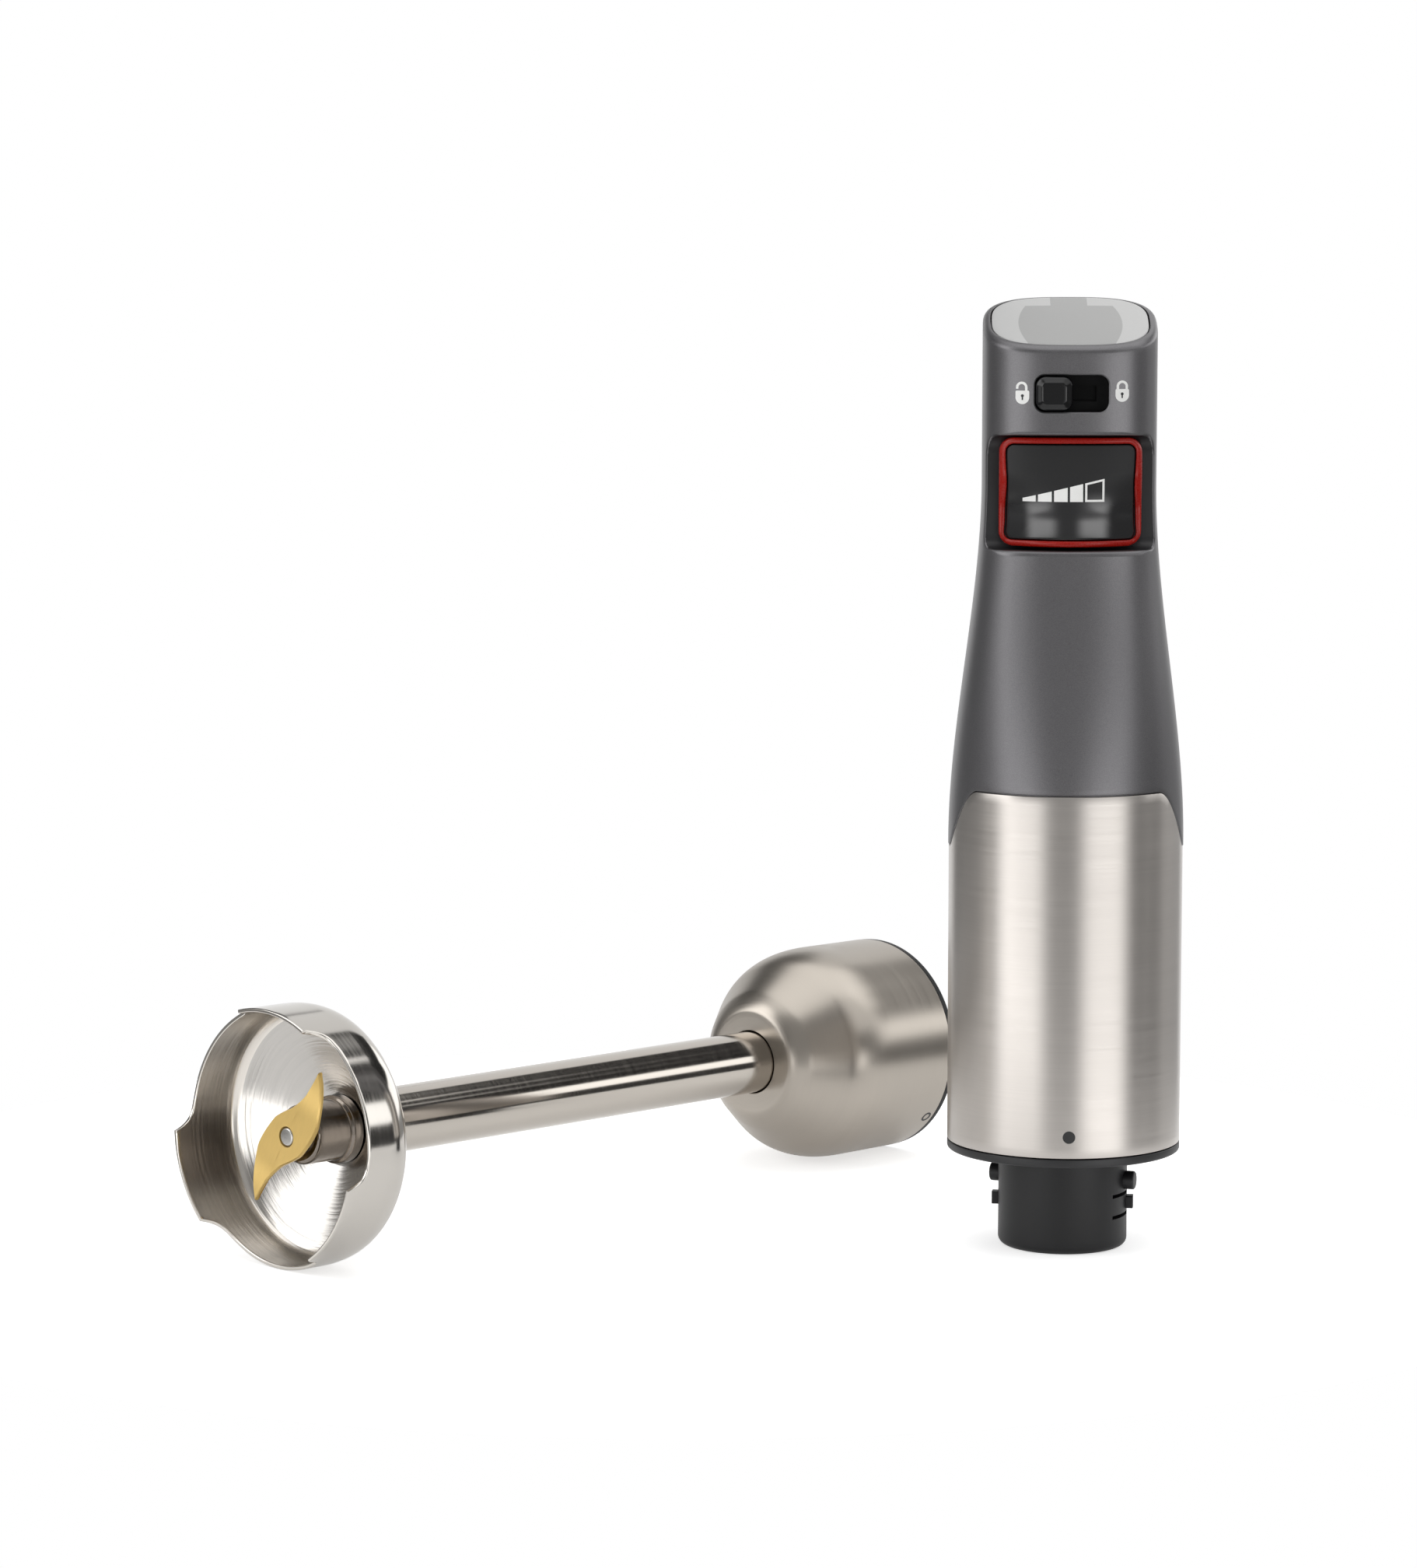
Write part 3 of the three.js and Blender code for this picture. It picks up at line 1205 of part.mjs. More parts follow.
// One arm of the blade: the cutting edge swells out and hooks to the tip, the back edge follows inside.
function bladeOutline() {
  const s = new THREE.Shape();
  const arm = sign => {
    const at = (x, y) => [sign * x, sign * y];
    s.quadraticCurveTo(...at(9.4, 0.2), ...at(10.7, 3.5));
    s.bezierCurveTo(...at(11.6, 7), ...at(11.6, 11.5), ...at(10, 16.9));
    s.bezierCurveTo(...at(8.2, 13.2), ...at(5.6, 9.2), ...at(1, 7.1));
    s.quadraticCurveTo(...at(-2, 5.9), ...at(-4.4, 4.5));
  };
  s.moveTo(4.4, -4.5);
  arm(1);
  arm(-1);
  const hole = new THREE.Path();
  hole.absarc(0, 0, bladeHole, 0, 2 * Math.PI, true);
  s.holes.push(hole);
  return s;
}

function blade() {
  const g = prism(bladeOutline(), bladeBack, bladeBack + bladeThickness, 7);
  const p = g.attributes.position;
  for (let i = 0; i < p.count; i++) {
    const along = p.getY(i) * 0.9 + p.getX(i) * 0.45;
    const bend = bladeBend * smooth((Math.abs(along) - bladeBendStart) / 11) * Math.sign(along);
    p.setZ(i, p.getZ(i) - bend);
  }
  return piece('blade', g, 'gold');
}

// ---------------------------------------------------------------- assembly
const motorUnit = new THREE.Group();
motorUnit.add(
  frontShell(), backShell(), ...shellScrews.map(shellScrew), topCap(),
  triggerCover(), triggerRim(), triggerPin(), triggerSpring(), lockTray(), lockSlider(),
  steelSleeve(), baseRing(), couplingCollar(), ...[0, 1, 2].map(collarScrew),
  lowerBracket(), upperBracket(), motorBearing('lower_bearing', bearingHeights[0]),
  motorBearing('upper_bearing', bearingHeights[1]), throughBolt(0), throughBolt(1),
  statorCore(), fieldCoil(0), fieldCoil(1), motorShaft(), armatureCore(), armatureWinding(), commutator(),
  ...brushHolder(0), ...brushHolder(1), coolingFan(), driveCoupling(),
  controlBoard(), boardFrame(), triac(), capacitor(), choke(), travelSensor(), cordGland());

// The shaft lies on its bell and its coupling cone, so its axis rises a little towards the bell.
const rise = Math.asin((bellRadius - coneRadius) / (shaftLength - bellStraight));
const heading = v3(Math.cos(restHeading * deg), Math.sin(restHeading * deg), 0);
const axis = heading.multiplyScalar(Math.cos(rise)).add(v3(0, 0, Math.sin(rise)));
const across = v3(0, 0, 1).cross(axis).normalize();
const shaftUnit = new THREE.Group();
const turn = new THREE.Matrix4().makeBasis(across, axis.clone().cross(across), axis);
shaftUnit.quaternion.setFromRotationMatrix(turn);
shaftUnit.position.set(restRimX, restRimY, coneRadius * Math.cos(rise));
shaftUnit.add(
  couplingCone(), coneLiner(), shaftTube(), bellGuard(), bellHub(), lowerBush(), upperBush(), shaftSeal(),
  driveRod(), drivenCoupling(), blade());

const handBlender = new THREE.Group();
handBlender.add(motorUnit, shaftUnit);
const extent = new THREE.Box3().setFromObject(handBlender, true);
const middle = extent.getCenter(v3(0, 0, 0));
handBlender.position.set(-middle.x, -middle.y, -extent.min.z);

export default handBlender;
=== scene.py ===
# Looks of a hand blender: the motor unit stands on its coupling collar, the steel shaft lies beside it.
# Shapes are worked out in millimetres, in the motor unit's frame (x right, y back, z up from the floor)
# or in the shaft's frame (side, up, along from the coupling rim), and then placed in metres.
import json
import math

import bmesh
import bpy
import numpy as np
from mathutils import Matrix, Vector


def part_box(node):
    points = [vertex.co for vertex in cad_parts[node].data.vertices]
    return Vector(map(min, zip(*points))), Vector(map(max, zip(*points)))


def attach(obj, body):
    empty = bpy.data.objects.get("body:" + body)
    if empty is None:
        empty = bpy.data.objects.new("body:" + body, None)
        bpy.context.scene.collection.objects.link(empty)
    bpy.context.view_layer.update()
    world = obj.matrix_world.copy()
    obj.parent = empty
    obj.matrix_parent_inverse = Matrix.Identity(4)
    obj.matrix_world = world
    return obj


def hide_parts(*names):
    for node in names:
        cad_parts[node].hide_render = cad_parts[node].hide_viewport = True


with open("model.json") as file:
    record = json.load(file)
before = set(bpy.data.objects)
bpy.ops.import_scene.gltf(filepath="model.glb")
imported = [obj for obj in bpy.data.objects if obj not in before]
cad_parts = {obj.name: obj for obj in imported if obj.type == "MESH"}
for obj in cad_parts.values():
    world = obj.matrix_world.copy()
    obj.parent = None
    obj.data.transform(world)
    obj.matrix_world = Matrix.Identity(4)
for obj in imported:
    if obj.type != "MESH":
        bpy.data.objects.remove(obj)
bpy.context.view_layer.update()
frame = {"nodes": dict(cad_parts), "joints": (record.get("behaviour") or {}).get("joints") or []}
mm = 0.001


# small maths used by several pieces
def smooth(t):
    # 3t^2 - 2t^3, held at 0 and 1 outside
    t = np.clip(t, 0, 1)
    return t * t * (3 - 2 * t)


def mix(a, b, t):
    # a at t = 0, b at t = 1, a straight line between
    return a + (b - a) * t


def smoothMax(a, b, width):
    # the larger of two values, with a round transition where they are closer than width
    near = np.clip(1 - np.abs(a - b) / width, 0, 1)
    return np.maximum(a, b) + near * near * width / 4


def curve(a, control, b, steps):
    # quadratic curve: each control point weighted by (1-t)^2, 2t(1-t), t^2
    t = np.linspace(0, 1, steps + 1)[:, None]
    a, control, b = np.array(a, float), np.array(control, float), np.array(b, float)
    return (1 - t) ** 2 * a + 2 * t * (1 - t) * control + t * t * b


def cubic(a, first, second, b, steps):
    # cubic curve: weights (1-t)^3, 3t(1-t)^2, 3t^2(1-t), t^3
    t = np.linspace(0, 1, steps + 1)[:, None]
    a, first, second, b = (np.array(p, float) for p in (a, first, second, b))
    return (1 - t) ** 3 * a + 3 * t * (1 - t) ** 2 * first + 3 * t * t * (1 - t) * second + t ** 3 * b


def rounded(points, radii, steps=6):
    # closed outline with its corners replaced by arcs: each arc touches both sides of its corner
    points = np.array(points, float)
    made = []
    for i, radius in enumerate(radii):
        corner, before, after = points[i], points[i - 1], points[(i + 1) % len(points)]
        if radius <= 0:
            made.append(corner[None])
            continue
        a = (before - corner) / np.linalg.norm(before - corner)
        b = (after - corner) / np.linalg.norm(after - corner)
        half = math.acos(float(np.clip(a @ b, -1, 1))) / 2
        reach = radius / math.tan(half)
        middle = corner + (a + b) / np.linalg.norm(a + b) * radius / math.sin(half)
        start, end = corner + a * reach - middle, corner + b * reach - middle
        t = np.linspace(0, 1, steps + 1)[:, None]
        swing = math.pi - 2 * half
        arc = (np.sin((1 - t) * swing) * start + np.sin(t * swing) * end) / math.sin(swing)
        made.append(middle + arc)
    return np.vstack(made)


def dense(points, step, closed=True):
    # the same outline with its long sides divided into equal parts no longer than step
    points = np.array(points, float)
    before = points if closed else points[:-1]
    ahead = (np.roll(points, -1, 0) if closed else points[1:]) - before
    counts = np.maximum(1, np.ceil(np.linalg.norm(ahead, axis=1) / step)).astype(int)
    part = np.arange(counts.sum()) - np.repeat(np.cumsum(counts) - counts, counts)
    share = (part / np.repeat(counts, counts))[:, None]
    made = np.repeat(before, counts, 0) + np.repeat(ahead, counts, 0) * share
    return made if closed else np.vstack([made, points[-1:]])


# the two frames
sleeveLow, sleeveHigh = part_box("steel_sleeve")
unitAxis = np.array([(sleeveLow.x + sleeveHigh.x) / 2, (sleeveLow.y + sleeveHigh.y) / 2, 0.0])
spin = next(joint for joint in frame["joints"] if joint["name"] == "blade_spin")
shaftAlong = np.array(spin["axis"], float)
shaftAlong /= np.linalg.norm(shaftAlong)
shaftSide = np.cross([0, 0, 1], shaftAlong)
shaftSide /= np.linalg.norm(shaftSide)
shaftUp = np.cross(shaftAlong, shaftSide)
shaftTurn = np.stack([shaftSide, shaftUp, shaftAlong], 1)
linerPoints = np.array([v.co for v in frame["nodes"]["cone_liner"].data.vertices], float)
spinPoint = np.array(spin["pos_m"], float)
shaftRim = spinPoint + shaftAlong * ((linerPoints - spinPoint) @ shaftAlong).min()


def onUnit(points):
    # millimetres in the motor unit's frame, as metres
    return unitAxis + points * mm


def onShaft(points):
    # millimetres in the shaft's frame, as metres
    return shaftRim + points * mm @ shaftTurn.T


# meshes from grids of points
def gridFaces(high, wide, closeRows, closeCols):
    # one quad between each point, its neighbour in the row and the two beside them in the next row
    r, c = np.meshgrid(np.arange(high - (not closeRows)), np.arange(wide - (not closeCols)), indexing="ij")
    r2, c2 = (r + 1) % high, (c + 1) % wide
    corners = [r * wide + c, r * wide + c2, r2 * wide + c2, r2 * wide + c]
    return np.stack(corners, -1).reshape(-1, 4)


def sheet(points, closeRows=False, closeCols=False, finish=0, lids=False):
    # grid of points as one surface: its points, its groups of faces and each face's finish;
    # lids close its first and last row with a flat face
    high, wide = points.shape[:2]
    groups = [gridFaces(high, wide, closeRows, closeCols)]
    if lids:
        groups += [np.arange(wide)[None], np.arange((high - 1) * wide, high * wide)[None]]
    return points.reshape(-1, 3), groups, np.broadcast_to(finish, sum(map(len, groups)))


def moved(made, change):
    # the same sheet with its points put elsewhere
    return change(made[0]), *made[1:]


def turned(profile, steps, closed=True):
    # profile of (radius, height) carried round the third axis: x = r cos a, y = r sin a
    profile = np.array(profile, float)
    a = np.arange(steps) / steps * 2 * math.pi
    r = profile[:, :1]
    points = np.stack([r * np.cos(a), r * np.sin(a), profile[:, 1:] + 0 * a], -1)
    return sheet(points, closeRows=closed, closeCols=True)


def swapped(points, axis):
    # (a, b, h) laid so that h runs along the named axis
    a, b, h = points[..., 0], points[..., 1], points[..., 2]
    order = {"x": (h, a, b), "y": (a, h, b), "z": (a, b, h)}
    return np.stack(order[axis], -1)


def extruded(outline, low, high, axis="z"):
    # flat outline carried straight from low to high
    outline = np.array(outline, float)
    ends = [np.column_stack([outline, np.full(len(outline), h)]) for h in (low, high)]
    return sheet(swapped(np.stack(ends), axis), closeCols=True, lids=True)


def circle(radius, steps=32, middle=(0.0, 0.0)):
    # x = r cos a, z = r sin a about the middle
    a = np.arange(steps) / steps * 2 * math.pi
    return np.column_stack([middle[0] + radius * np.cos(a), middle[1] + radius * np.sin(a)])


def blockOf(low, high):
    # box between two opposite corners
    outline = [(low[0], low[1]), (high[0], low[1]), (high[0], high[1]), (low[0], high[1])]
    return extruded(outline, low[2], high[2])


def roundedOutline(halfWide, halfHigh, corner, middle=(0.0, 0.0), line=10, turn=9):
    # rectangle with round corners; every size has the same number of points on each side and corner
    made = []
    signs = [(1, -1), (1, 1), (-1, 1), (-1, -1)]
    for i, (sx, sy) in enumerate(signs):
        centre = np.array([sx * (halfWide - corner), sy * (halfHigh - corner)])
        a = np.radians(90 * (i - 1) + np.linspace(0, 90, turn + 1))[:, None]
        arc = centre + corner * np.hstack([np.cos(a), np.sin(a)])
        nx, ny = signs[(i + 1) % 4]
        end = math.radians(90 * i)
        target = np.array([nx * (halfWide - corner), ny * (halfHigh - corner)])
        target = target + corner * np.array([math.cos(end), math.sin(end)])
        t = (np.arange(1, line) / line)[:, None]
        made += [arc, mix(arc[-1], target, t)]
    return np.vstack(made) + np.array(middle)


def turnedAway(points, angle):
    # something made along +x, at a height, turned to an angle counted from the front (-y) towards +x
    a = math.radians(angle - 90)
    x, y, z = points[..., 0], points[..., 1], points[..., 2]
    return np.stack([x * math.cos(a) - y * math.sin(a), x * math.sin(a) + y * math.cos(a), z], -1)


def meshFrom(name, sheets, place, finishes=()):
    # stacks the sheets, joins points that coincide and turns the faces outwards
    points = np.vstack([s[0] for s in sheets])
    starts = np.cumsum([0] + [len(s[0]) for s in sheets[:-1]])
    faces = [(group + start).tolist() for s, start in zip(sheets, starts) for group in s[1]]
    mesh = bpy.data.meshes.new(name)
    mesh.from_pydata(place(points).tolist(), [], sum(faces, []))
    mesh.polygons.foreach_set("material_index", np.concatenate([s[2] for s in sheets]).astype(np.int32))
    for finish in finishes:
        mesh.materials.append(finish)
    work = bmesh.new()
    work.from_mesh(mesh)
    bmesh.ops.remove_doubles(work, verts=work.verts, dist=2e-6)
    bmesh.ops.recalc_face_normals(work, faces=work.faces)
    work.to_mesh(mesh)
    work.free()
    piece = bpy.data.objects.new(name, mesh)
    bpy.context.scene.collection.objects.link(piece)
    return piece


def applied(piece):
    # the piece with its modifiers worked into its mesh
    graph = bpy.context.evaluated_depsgraph_get()
    made = bpy.data.meshes.new_from_object(piece.evaluated_get(graph), depsgraph=graph)
    old = piece.data
    piece.modifiers.clear()
    piece.data = made
    bpy.data.meshes.remove(old)
    made.name = piece.name
    return piece


def carved(piece, sheets, place, operation="DIFFERENCE"):
    # cuts solids out of the piece, or joins them to it
    tool = meshFrom(piece.name + "_tool", sheets, place)
    change = piece.modifiers.new("carve", "BOOLEAN")
    change.operation = operation
    change.object = tool
    before = len(piece.data.vertices)
    for solver in ("MANIFOLD", "EXACT"):
        change.solver = solver
        if len(piece.evaluated_get(bpy.context.evaluated_depsgraph_get()).data.vertices) != before:
            break
        print(piece.name, "isn't changed by", solver)
    applied(piece)
    bpy.data.objects.remove(tool)
    return piece


def settled(piece, body, replaced=(), crease=30):
    # smooth shading up to the crease angle, then the piece's body; the CAD nodes it replaces are hidden
    mesh = piece.data
    mesh.polygons.foreach_set("use_smooth", np.ones(len(mesh.polygons), bool))
    mesh.set_sharp_from_angle(angle=math.radians(crease))
    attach(piece, body)
    if replaced:
        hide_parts(*replaced)
    return piece


# shader graphs: a Link is one output socket, and sums of Links add Math nodes
class Link:
    def __init__(self, graph, socket):
        self.graph = graph
        self.socket = socket

    def math(self, operation, *others):
        return self.graph.add("ShaderNodeMath", {"operation": operation}, [self, *others])

    def __add__(self, other):
        return self.math("ADD", other)

    def __sub__(self, other):
        return self.math("SUBTRACT", other)

    def __rsub__(self, other):
        return self.graph.add("ShaderNodeMath", {"operation": "SUBTRACT"}, [other, self])

    def __mul__(self, other):
        return self.math("MULTIPLY", other)

    def __truediv__(self, other):
        return self.math("DIVIDE", other)

    def __gt__(self, other):
        return self.math("GREATER_THAN", other)

    def __lt__(self, other):
        return self.math("LESS_THAN", other)

    __radd__ = __add__
    __rmul__ = __mul__


class Graph:
    def __init__(self, tree):
        self.nodes = tree.nodes
        self.links = tree.links

    def plug(self, socket, value):
        if isinstance(value, Link):
            self.links.new(value.socket, socket)
        else:
            socket.default_value = value

    # any node: its settings first, then the values or links of its sockets, by place or by name
    def add(self, kind, settings=None, values=(), output=0):
        node = self.nodes.new(kind)
        for key, value in (settings or {}).items():
            if key == "stops":
                self.setStops(node.color_ramp, value)
            else:
                setattr(node, key, value)
        pairs = values.items() if isinstance(values, dict) else enumerate(values)
        for key, value in pairs:
            self.plug(node.inputs[key], value)
        return Link(self, node.outputs[output])

    def setStops(self, ramp, stops):
        while len(ramp.elements) < len(stops):
            ramp.elements.new(0.5)
        for element, (place, level) in zip(ramp.elements, stops):
            element.position = place
            element.color = (level, level, level, 1)

    def blend(self, mask, first, second):
        return self.add("ShaderNodeMix", {"data_type": "RGBA"}, {0: mask, 6: first, 7: second}, output=2)

    # 0 below low, 1 above high, a soft step between
    def step(self, value, low, high):
        values = {"Value": value, "From Min": low, "From Max": high}
        return self.add("ShaderNodeMapRange", {"interpolation_type": "SMOOTHSTEP"}, values)

    # 1 between low and high, fading over edge outside them
    def band(self, value, low, high, edge):
        return self.step(value, low - edge, low) * (1 - self.step(value, high, high + edge))

    def parts(self, vector):
        node = self.nodes.new("ShaderNodeSeparateXYZ")
        self.plug(node.inputs[0], vector)
        return [Link(self, socket) for socket in node.outputs]

    def join(self, x, y, z):
        return self.add("ShaderNodeCombineXYZ", None, [x, y, z])

    def noise(self, vector, scale, detail=2.0, fourth=None):
        settings = {"noise_dimensions": "3D" if fourth is None else "4D"}
        values = {"Vector": vector, "Scale": scale, "Detail": detail}
        if fourth is not None:
            values["W"] = fourth
        return self.add("ShaderNodeTexNoise", settings, values)


shaftEuler = Matrix(shaftTurn.tolist()).to_euler()


class Finish(Graph):
    def __init__(self, name, colour, roughness, metallic=0.0, **constants):
        self.material = bpy.data.materials.new(name)
        self.material.use_nodes = True
        super().__init__(self.material.node_tree)
        self.shader = next(n for n in self.nodes if n.type == "BSDF_PRINCIPLED")
        self.colour = (*colour, 1.0)
        self.put("Base Color", self.colour)
        self.put("Roughness", roughness)
        self.put("Metallic", metallic)
        self.material.diffuse_color = self.colour
        for key, value in constants.items():
            self.put(key.replace("_", " "), value)

    def put(self, socket, value):
        self.plug(self.shader.inputs[socket], value)

    # millimetres about the motor unit's axis, or along the shaft
    def place(self, where="unit"):
        coordinates = self.add("ShaderNodeTexCoord", None, [], output=3)
        origin, turn = (unitAxis, (0, 0, 0)) if where == "unit" else (shaftRim, tuple(shaftEuler))
        values = [coordinates, tuple(origin), turn, (mm, mm, mm)]
        return self.add("ShaderNodeMapping", {"vector_type": "TEXTURE"}, values)

    def relief(self, height, depth, strength=1.0):
        values = {"Strength": strength, "Distance": depth * mm, "Height": height}
        self.put("Normal", self.add("ShaderNodeBump", None, values))


def tone(r, g=None, b=None):
    # display levels of 0-255 as linear colour
    levels = np.array([r, r if g is None else g, r if b is None else b]) / 255
    linear = np.where(levels <= 0.04045, levels / 12.92, ((levels + 0.055) / 1.055) ** 2.4)
    return tuple(float(x) for x in linear)


def shaded(colour, factor):
    # the colour times a factor, with its alpha
    return (*[c * factor for c in colour[:3]], 1.0)


# finishes
def brushedSteel(name, where, colour, roughness, depth, contrast=0.1, pitch=5.0, **constants):
    # fine grooves round the axis: noise quick along the axis and the radius, slow round them
    finish = Finish(name, colour, roughness, 1.0, **constants)
    x, y, z = finish.parts(finish.place(where))
    radius = (x * x + y * y).math("SQRT")
    turn = finish.join(z * pitch, radius * pitch, x / (radius + 0.01) * 0.9)
    grooves = finish.noise(turn, 1.0, 3.0, fourth=y / (radius + 0.01) * 0.9)
    broad = finish.noise(finish.join(z * 0.35, radius * 0.35, x / (radius + 0.01) * 0.5), 1.0, 2.0,
                         fourth=y / (radius + 0.01) * 0.5)
    finish.put("Base Color", finish.blend(grooves * 0.7 + broad * 0.3, shaded(colour, 1 - contrast),
                                          shaded(colour, 1 + contrast)))
    finish.put("Roughness", grooves * 0.12 + (roughness - 0.06))
    finish.relief(grooves, depth)
    return finish.material


def plastic(name, colour, roughness, grain, depth, contrast=0.06, **constants):
    # moulded plastic: a fine grain in the colour, the gloss and the surface
    finish = Finish(name, colour, roughness, **constants)
    speck = finish.noise(finish.place(), grain, 3.0)
    finish.put("Base Color", finish.blend(speck, shaded(colour, 1 - contrast), shaded(colour, 1 + contrast)))
    finish.put("Roughness", speck * 0.1 + (roughness - 0.05))
    finish.relief(speck, depth)
    return finish.material


def buttonPlastic(low, high):
    # black plastic, polished low down and fading to satin between the two heights
    finish = Finish("gloss_black", tone(13, 13, 15), 0.3, Coat_Roughness=0.14)
    place = finish.place()
    speck = finish.noise(place, 2.0, 3.0)
    upper = finish.step(finish.parts(place)[2], low, high)
    finish.put("Roughness", speck * 0.08 + 0.16 + upper * 0.4)
    finish.put("Coat Weight", (1 - upper) * 0.7)
    finish.relief(speck, 0.0005)
    return finish.material


def metal(name, colour, roughness, grain=2.0, contrast=0.08, depth=0.002):
    # plain machined metal with faint clouding
    finish = Finish(name, colour, roughness, 1.0)
    cloud = finish.noise(finish.place(), grain, 3.0)
    finish.put("Base Color", finish.blend(cloud, shaded(colour, 1 - contrast), shaded(colour, 1 + contrast)))
    finish.put("Roughness", cloud * 0.14 + (roughness - 0.07))
    finish.relief(cloud, depth)
    return finish.material


def housingPaint():
    # satin metallic paint: sparkle flakes over dark grey
    colour = tone(107, 106, 108)
    finish = Finish("satin_grey", colour, 0.38, 0.8, Coat_Weight=0.08, Coat_Roughness=0.3)
    place = finish.place()
    flakes = finish.noise(place, 5.5, 2.0)
    fine = finish.noise(place, 12.0, 2.0)
    grain = flakes * 0.55 + fine * 0.45
    finish.put("Base Color", finish.blend(finish.step(grain, 0.35, 0.65), shaded(colour, 0.86),
                                          shaded(colour, 1.16)))
    finish.put("Roughness", grain * 0.16 + 0.3)
    finish.relief(grain, 0.012)
    return finish.material


def capPaint(section):
    # light grey cap with a slightly darker printed field that runs to its front edge
    light, field = tone(190, 190, 189), tone(161, 161, 160)
    finish = Finish("cap_grey", light, 0.34, 0.0, Coat_Weight=0.15, Coat_Roughness=0.2)
    place = finish.place()
    x, y = finish.parts(place)[:2]
    shoulder, neckHalf = section["shoulder"], section["neckHalf"]
    across = x.math("ABSOLUTE")
    bow = (y - section["widest"]) / section["bow"]
    past = across + bow * bow - section["half"]
    wide = (1 - finish.step(past, -0.08, 0.08)) * (1 - finish.step(y, shoulder - 0.1, shoulder))
    neck = (1 - finish.step(across, neckHalf - 0.1, neckHalf)) * (y > shoulder - 1)
    inside = (wide + neck).math("MINIMUM", 1.0)
    speck = finish.noise(place, 4.0, 3.0)
    base = finish.blend(inside, (*light, 1), (*field, 1))
    finish.put("Base Color", finish.blend(speck * 0.12, base, shaded(field, 0.8)))
    finish.put("Roughness", speck * 0.08 + 0.3 + inside * 0.06)
    finish.relief(speck, 0.004)
    return finish.material


def goldBlade():
    # gold coated steel, polished along its length
    colour = tone(228, 194, 118)
    finish = Finish("gold_blade", colour, 0.36, 0.5)
    place = finish.place("shaft")
    x, y, z = finish.parts(place)
    along = finish.noise(finish.join(x * 1.6 - y * 0.8, x * 0.15 + y * 0.3, z * 0.3), 1.0, 3.0)
    finish.put("Base Color", finish.blend(along, shaded(colour, 0.95), shaded(colour, 1.05)))
    finish.put("Roughness", along * 0.1 + 0.3)
    finish.relief(along, 0.004)
    return finish.material


finishes = {
    "housing": housingPaint(),
    "cap": capPaint({"half": 12.7, "neckHalf": 4.6, "shoulder": 10.8, "widest": -3.0, "bow": 9.9}),
    "sleeve": brushedSteel("sleeve_steel", "unit", tone(190, 185, 180), 0.34, 0.004, 0.09, 2.4,
                           Anisotropic=0.7, Anisotropic_Rotation=0.25),
    "cone": brushedSteel("cone_steel", "shaft", tone(173, 166, 157), 0.31, 0.003, 0.05, 2.6,
                         Anisotropic=0.3),
    "tube": brushedSteel("tube_steel", "shaft", tone(187, 181, 173), 0.13, 0.0008, 0.02, 3.0),
    "bell": brushedSteel("bell_steel", "shaft", tone(192, 188, 182), 0.13, 0.001, 0.03, 3.0),
    "bellInside": brushedSteel("bell_inside_steel", "shaft", tone(216, 211, 204), 0.22, 0.08, 0.16, 1.4),
    # the bell's ceiling: the inside steel in a darker tone, painted shade
    "bellCeiling": brushedSteel("bell_ceiling_steel", "shaft", tone(184, 181, 177),
                                0.17, 0.08, 0.16, 1.4),
    "hub": brushedSteel("hub_steel", "shaft", tone(128, 120, 112), 0.16, 0.002, 0.05, 4.0),
    "black": plastic("black_plastic", tone(20, 20, 22), 0.42, 3.0, 0.008),
    "knob": plastic("knob_plastic", tone(10, 10, 12), 0.2, 3.0, 0.001, Specular_IOR_Level=0.4),
    # dish and the knob's hidden back: black plastic darker and duller than the other blacks, partly painted
    # shade in the slot's hollow
    "dish": plastic("dish_plastic", tone(8, 8, 9), 0.7, 3.0, 0.004, Specular_IOR_Level=0.2),
    # painted shade: dark grey for the housing inside the trigger's recess, where the paint lies in shade
    "pocket": plastic("pocket_grey", tone(27, 27, 29), 0.42, 5.5, 0.008),
    "liner": plastic("liner_plastic", tone(14, 14, 16), 0.5, 4.0, 0.008, Specular_IOR_Level=0.3),
    "collar": plastic("collar_plastic", tone(19, 19, 21), 0.45, 4.0, 0.012, Specular_IOR_Level=0.4),
    "gloss": buttonPlastic(184.5, 190.0),
    "red": plastic("red_plastic", tone(150, 18, 8), 0.28, 3.0, 0.004, Specular_IOR_Level=0.3),
    "white": plastic("white_print", tone(236, 236, 234), 0.5, 6.0, 0.001),
    "print": plastic("black_print", tone(28, 28, 30), 0.45, 6.0, 0.001),
    "gold": goldBlade(),
    "steel": metal("plain_steel", tone(190, 188, 184), 0.3),
    "copper": metal("copper_wire", tone(186, 108, 62), 0.34, 3.0, 0.2, 0.03),
    "brass": metal("brass", tone(196, 164, 92), 0.3),
    "iron": metal("core_iron", tone(112, 114, 118), 0.5, 1.2, 0.15, 0.02),
    "bearing": metal("bearing_steel", tone(182, 186, 190), 0.18),
    "carbon": plastic("carbon", tone(40, 40, 42), 0.8, 6.0, 0.02),
    "board": plastic("circuit_board", tone(38, 92, 60), 0.45, 1.5, 0.004, 0.15),
    "frame": plastic("pale_plastic", tone(214, 212, 205), 0.5, 2.0, 0.01),
    "rubber": plastic("rubber", tone(32, 32, 33), 0.8, 5.0, 0.03),
}
print("finishes made:", len(finishes))

# handle section, seam and cap plane, shared by the shells, the cap and the trigger
handle = {
    "barrelRadius": 29.15,
    "gripHalf": 21.4,
    "depthRatio": 0.963,
    "power": 3.0,
    "taperBottom": 102.0,
    "taperTop": 191.0,
    "seamTop": 115.8,
    "seamDrop": 15.2,
    "seamTurn": 50.0,
    "seamFall": 35.0,
    "rimRadius": 1.6,
    "capSlant": 16.7,
    "capMiddle": 230.4,
    "split": 6.0,
    "gap": 0.3,
}


def taperAt(z):
    # 0 at the barrel, 1 at the grip
    return smooth((z - handle["taperBottom"]) / (handle["taperTop"] - handle["taperBottom"]))


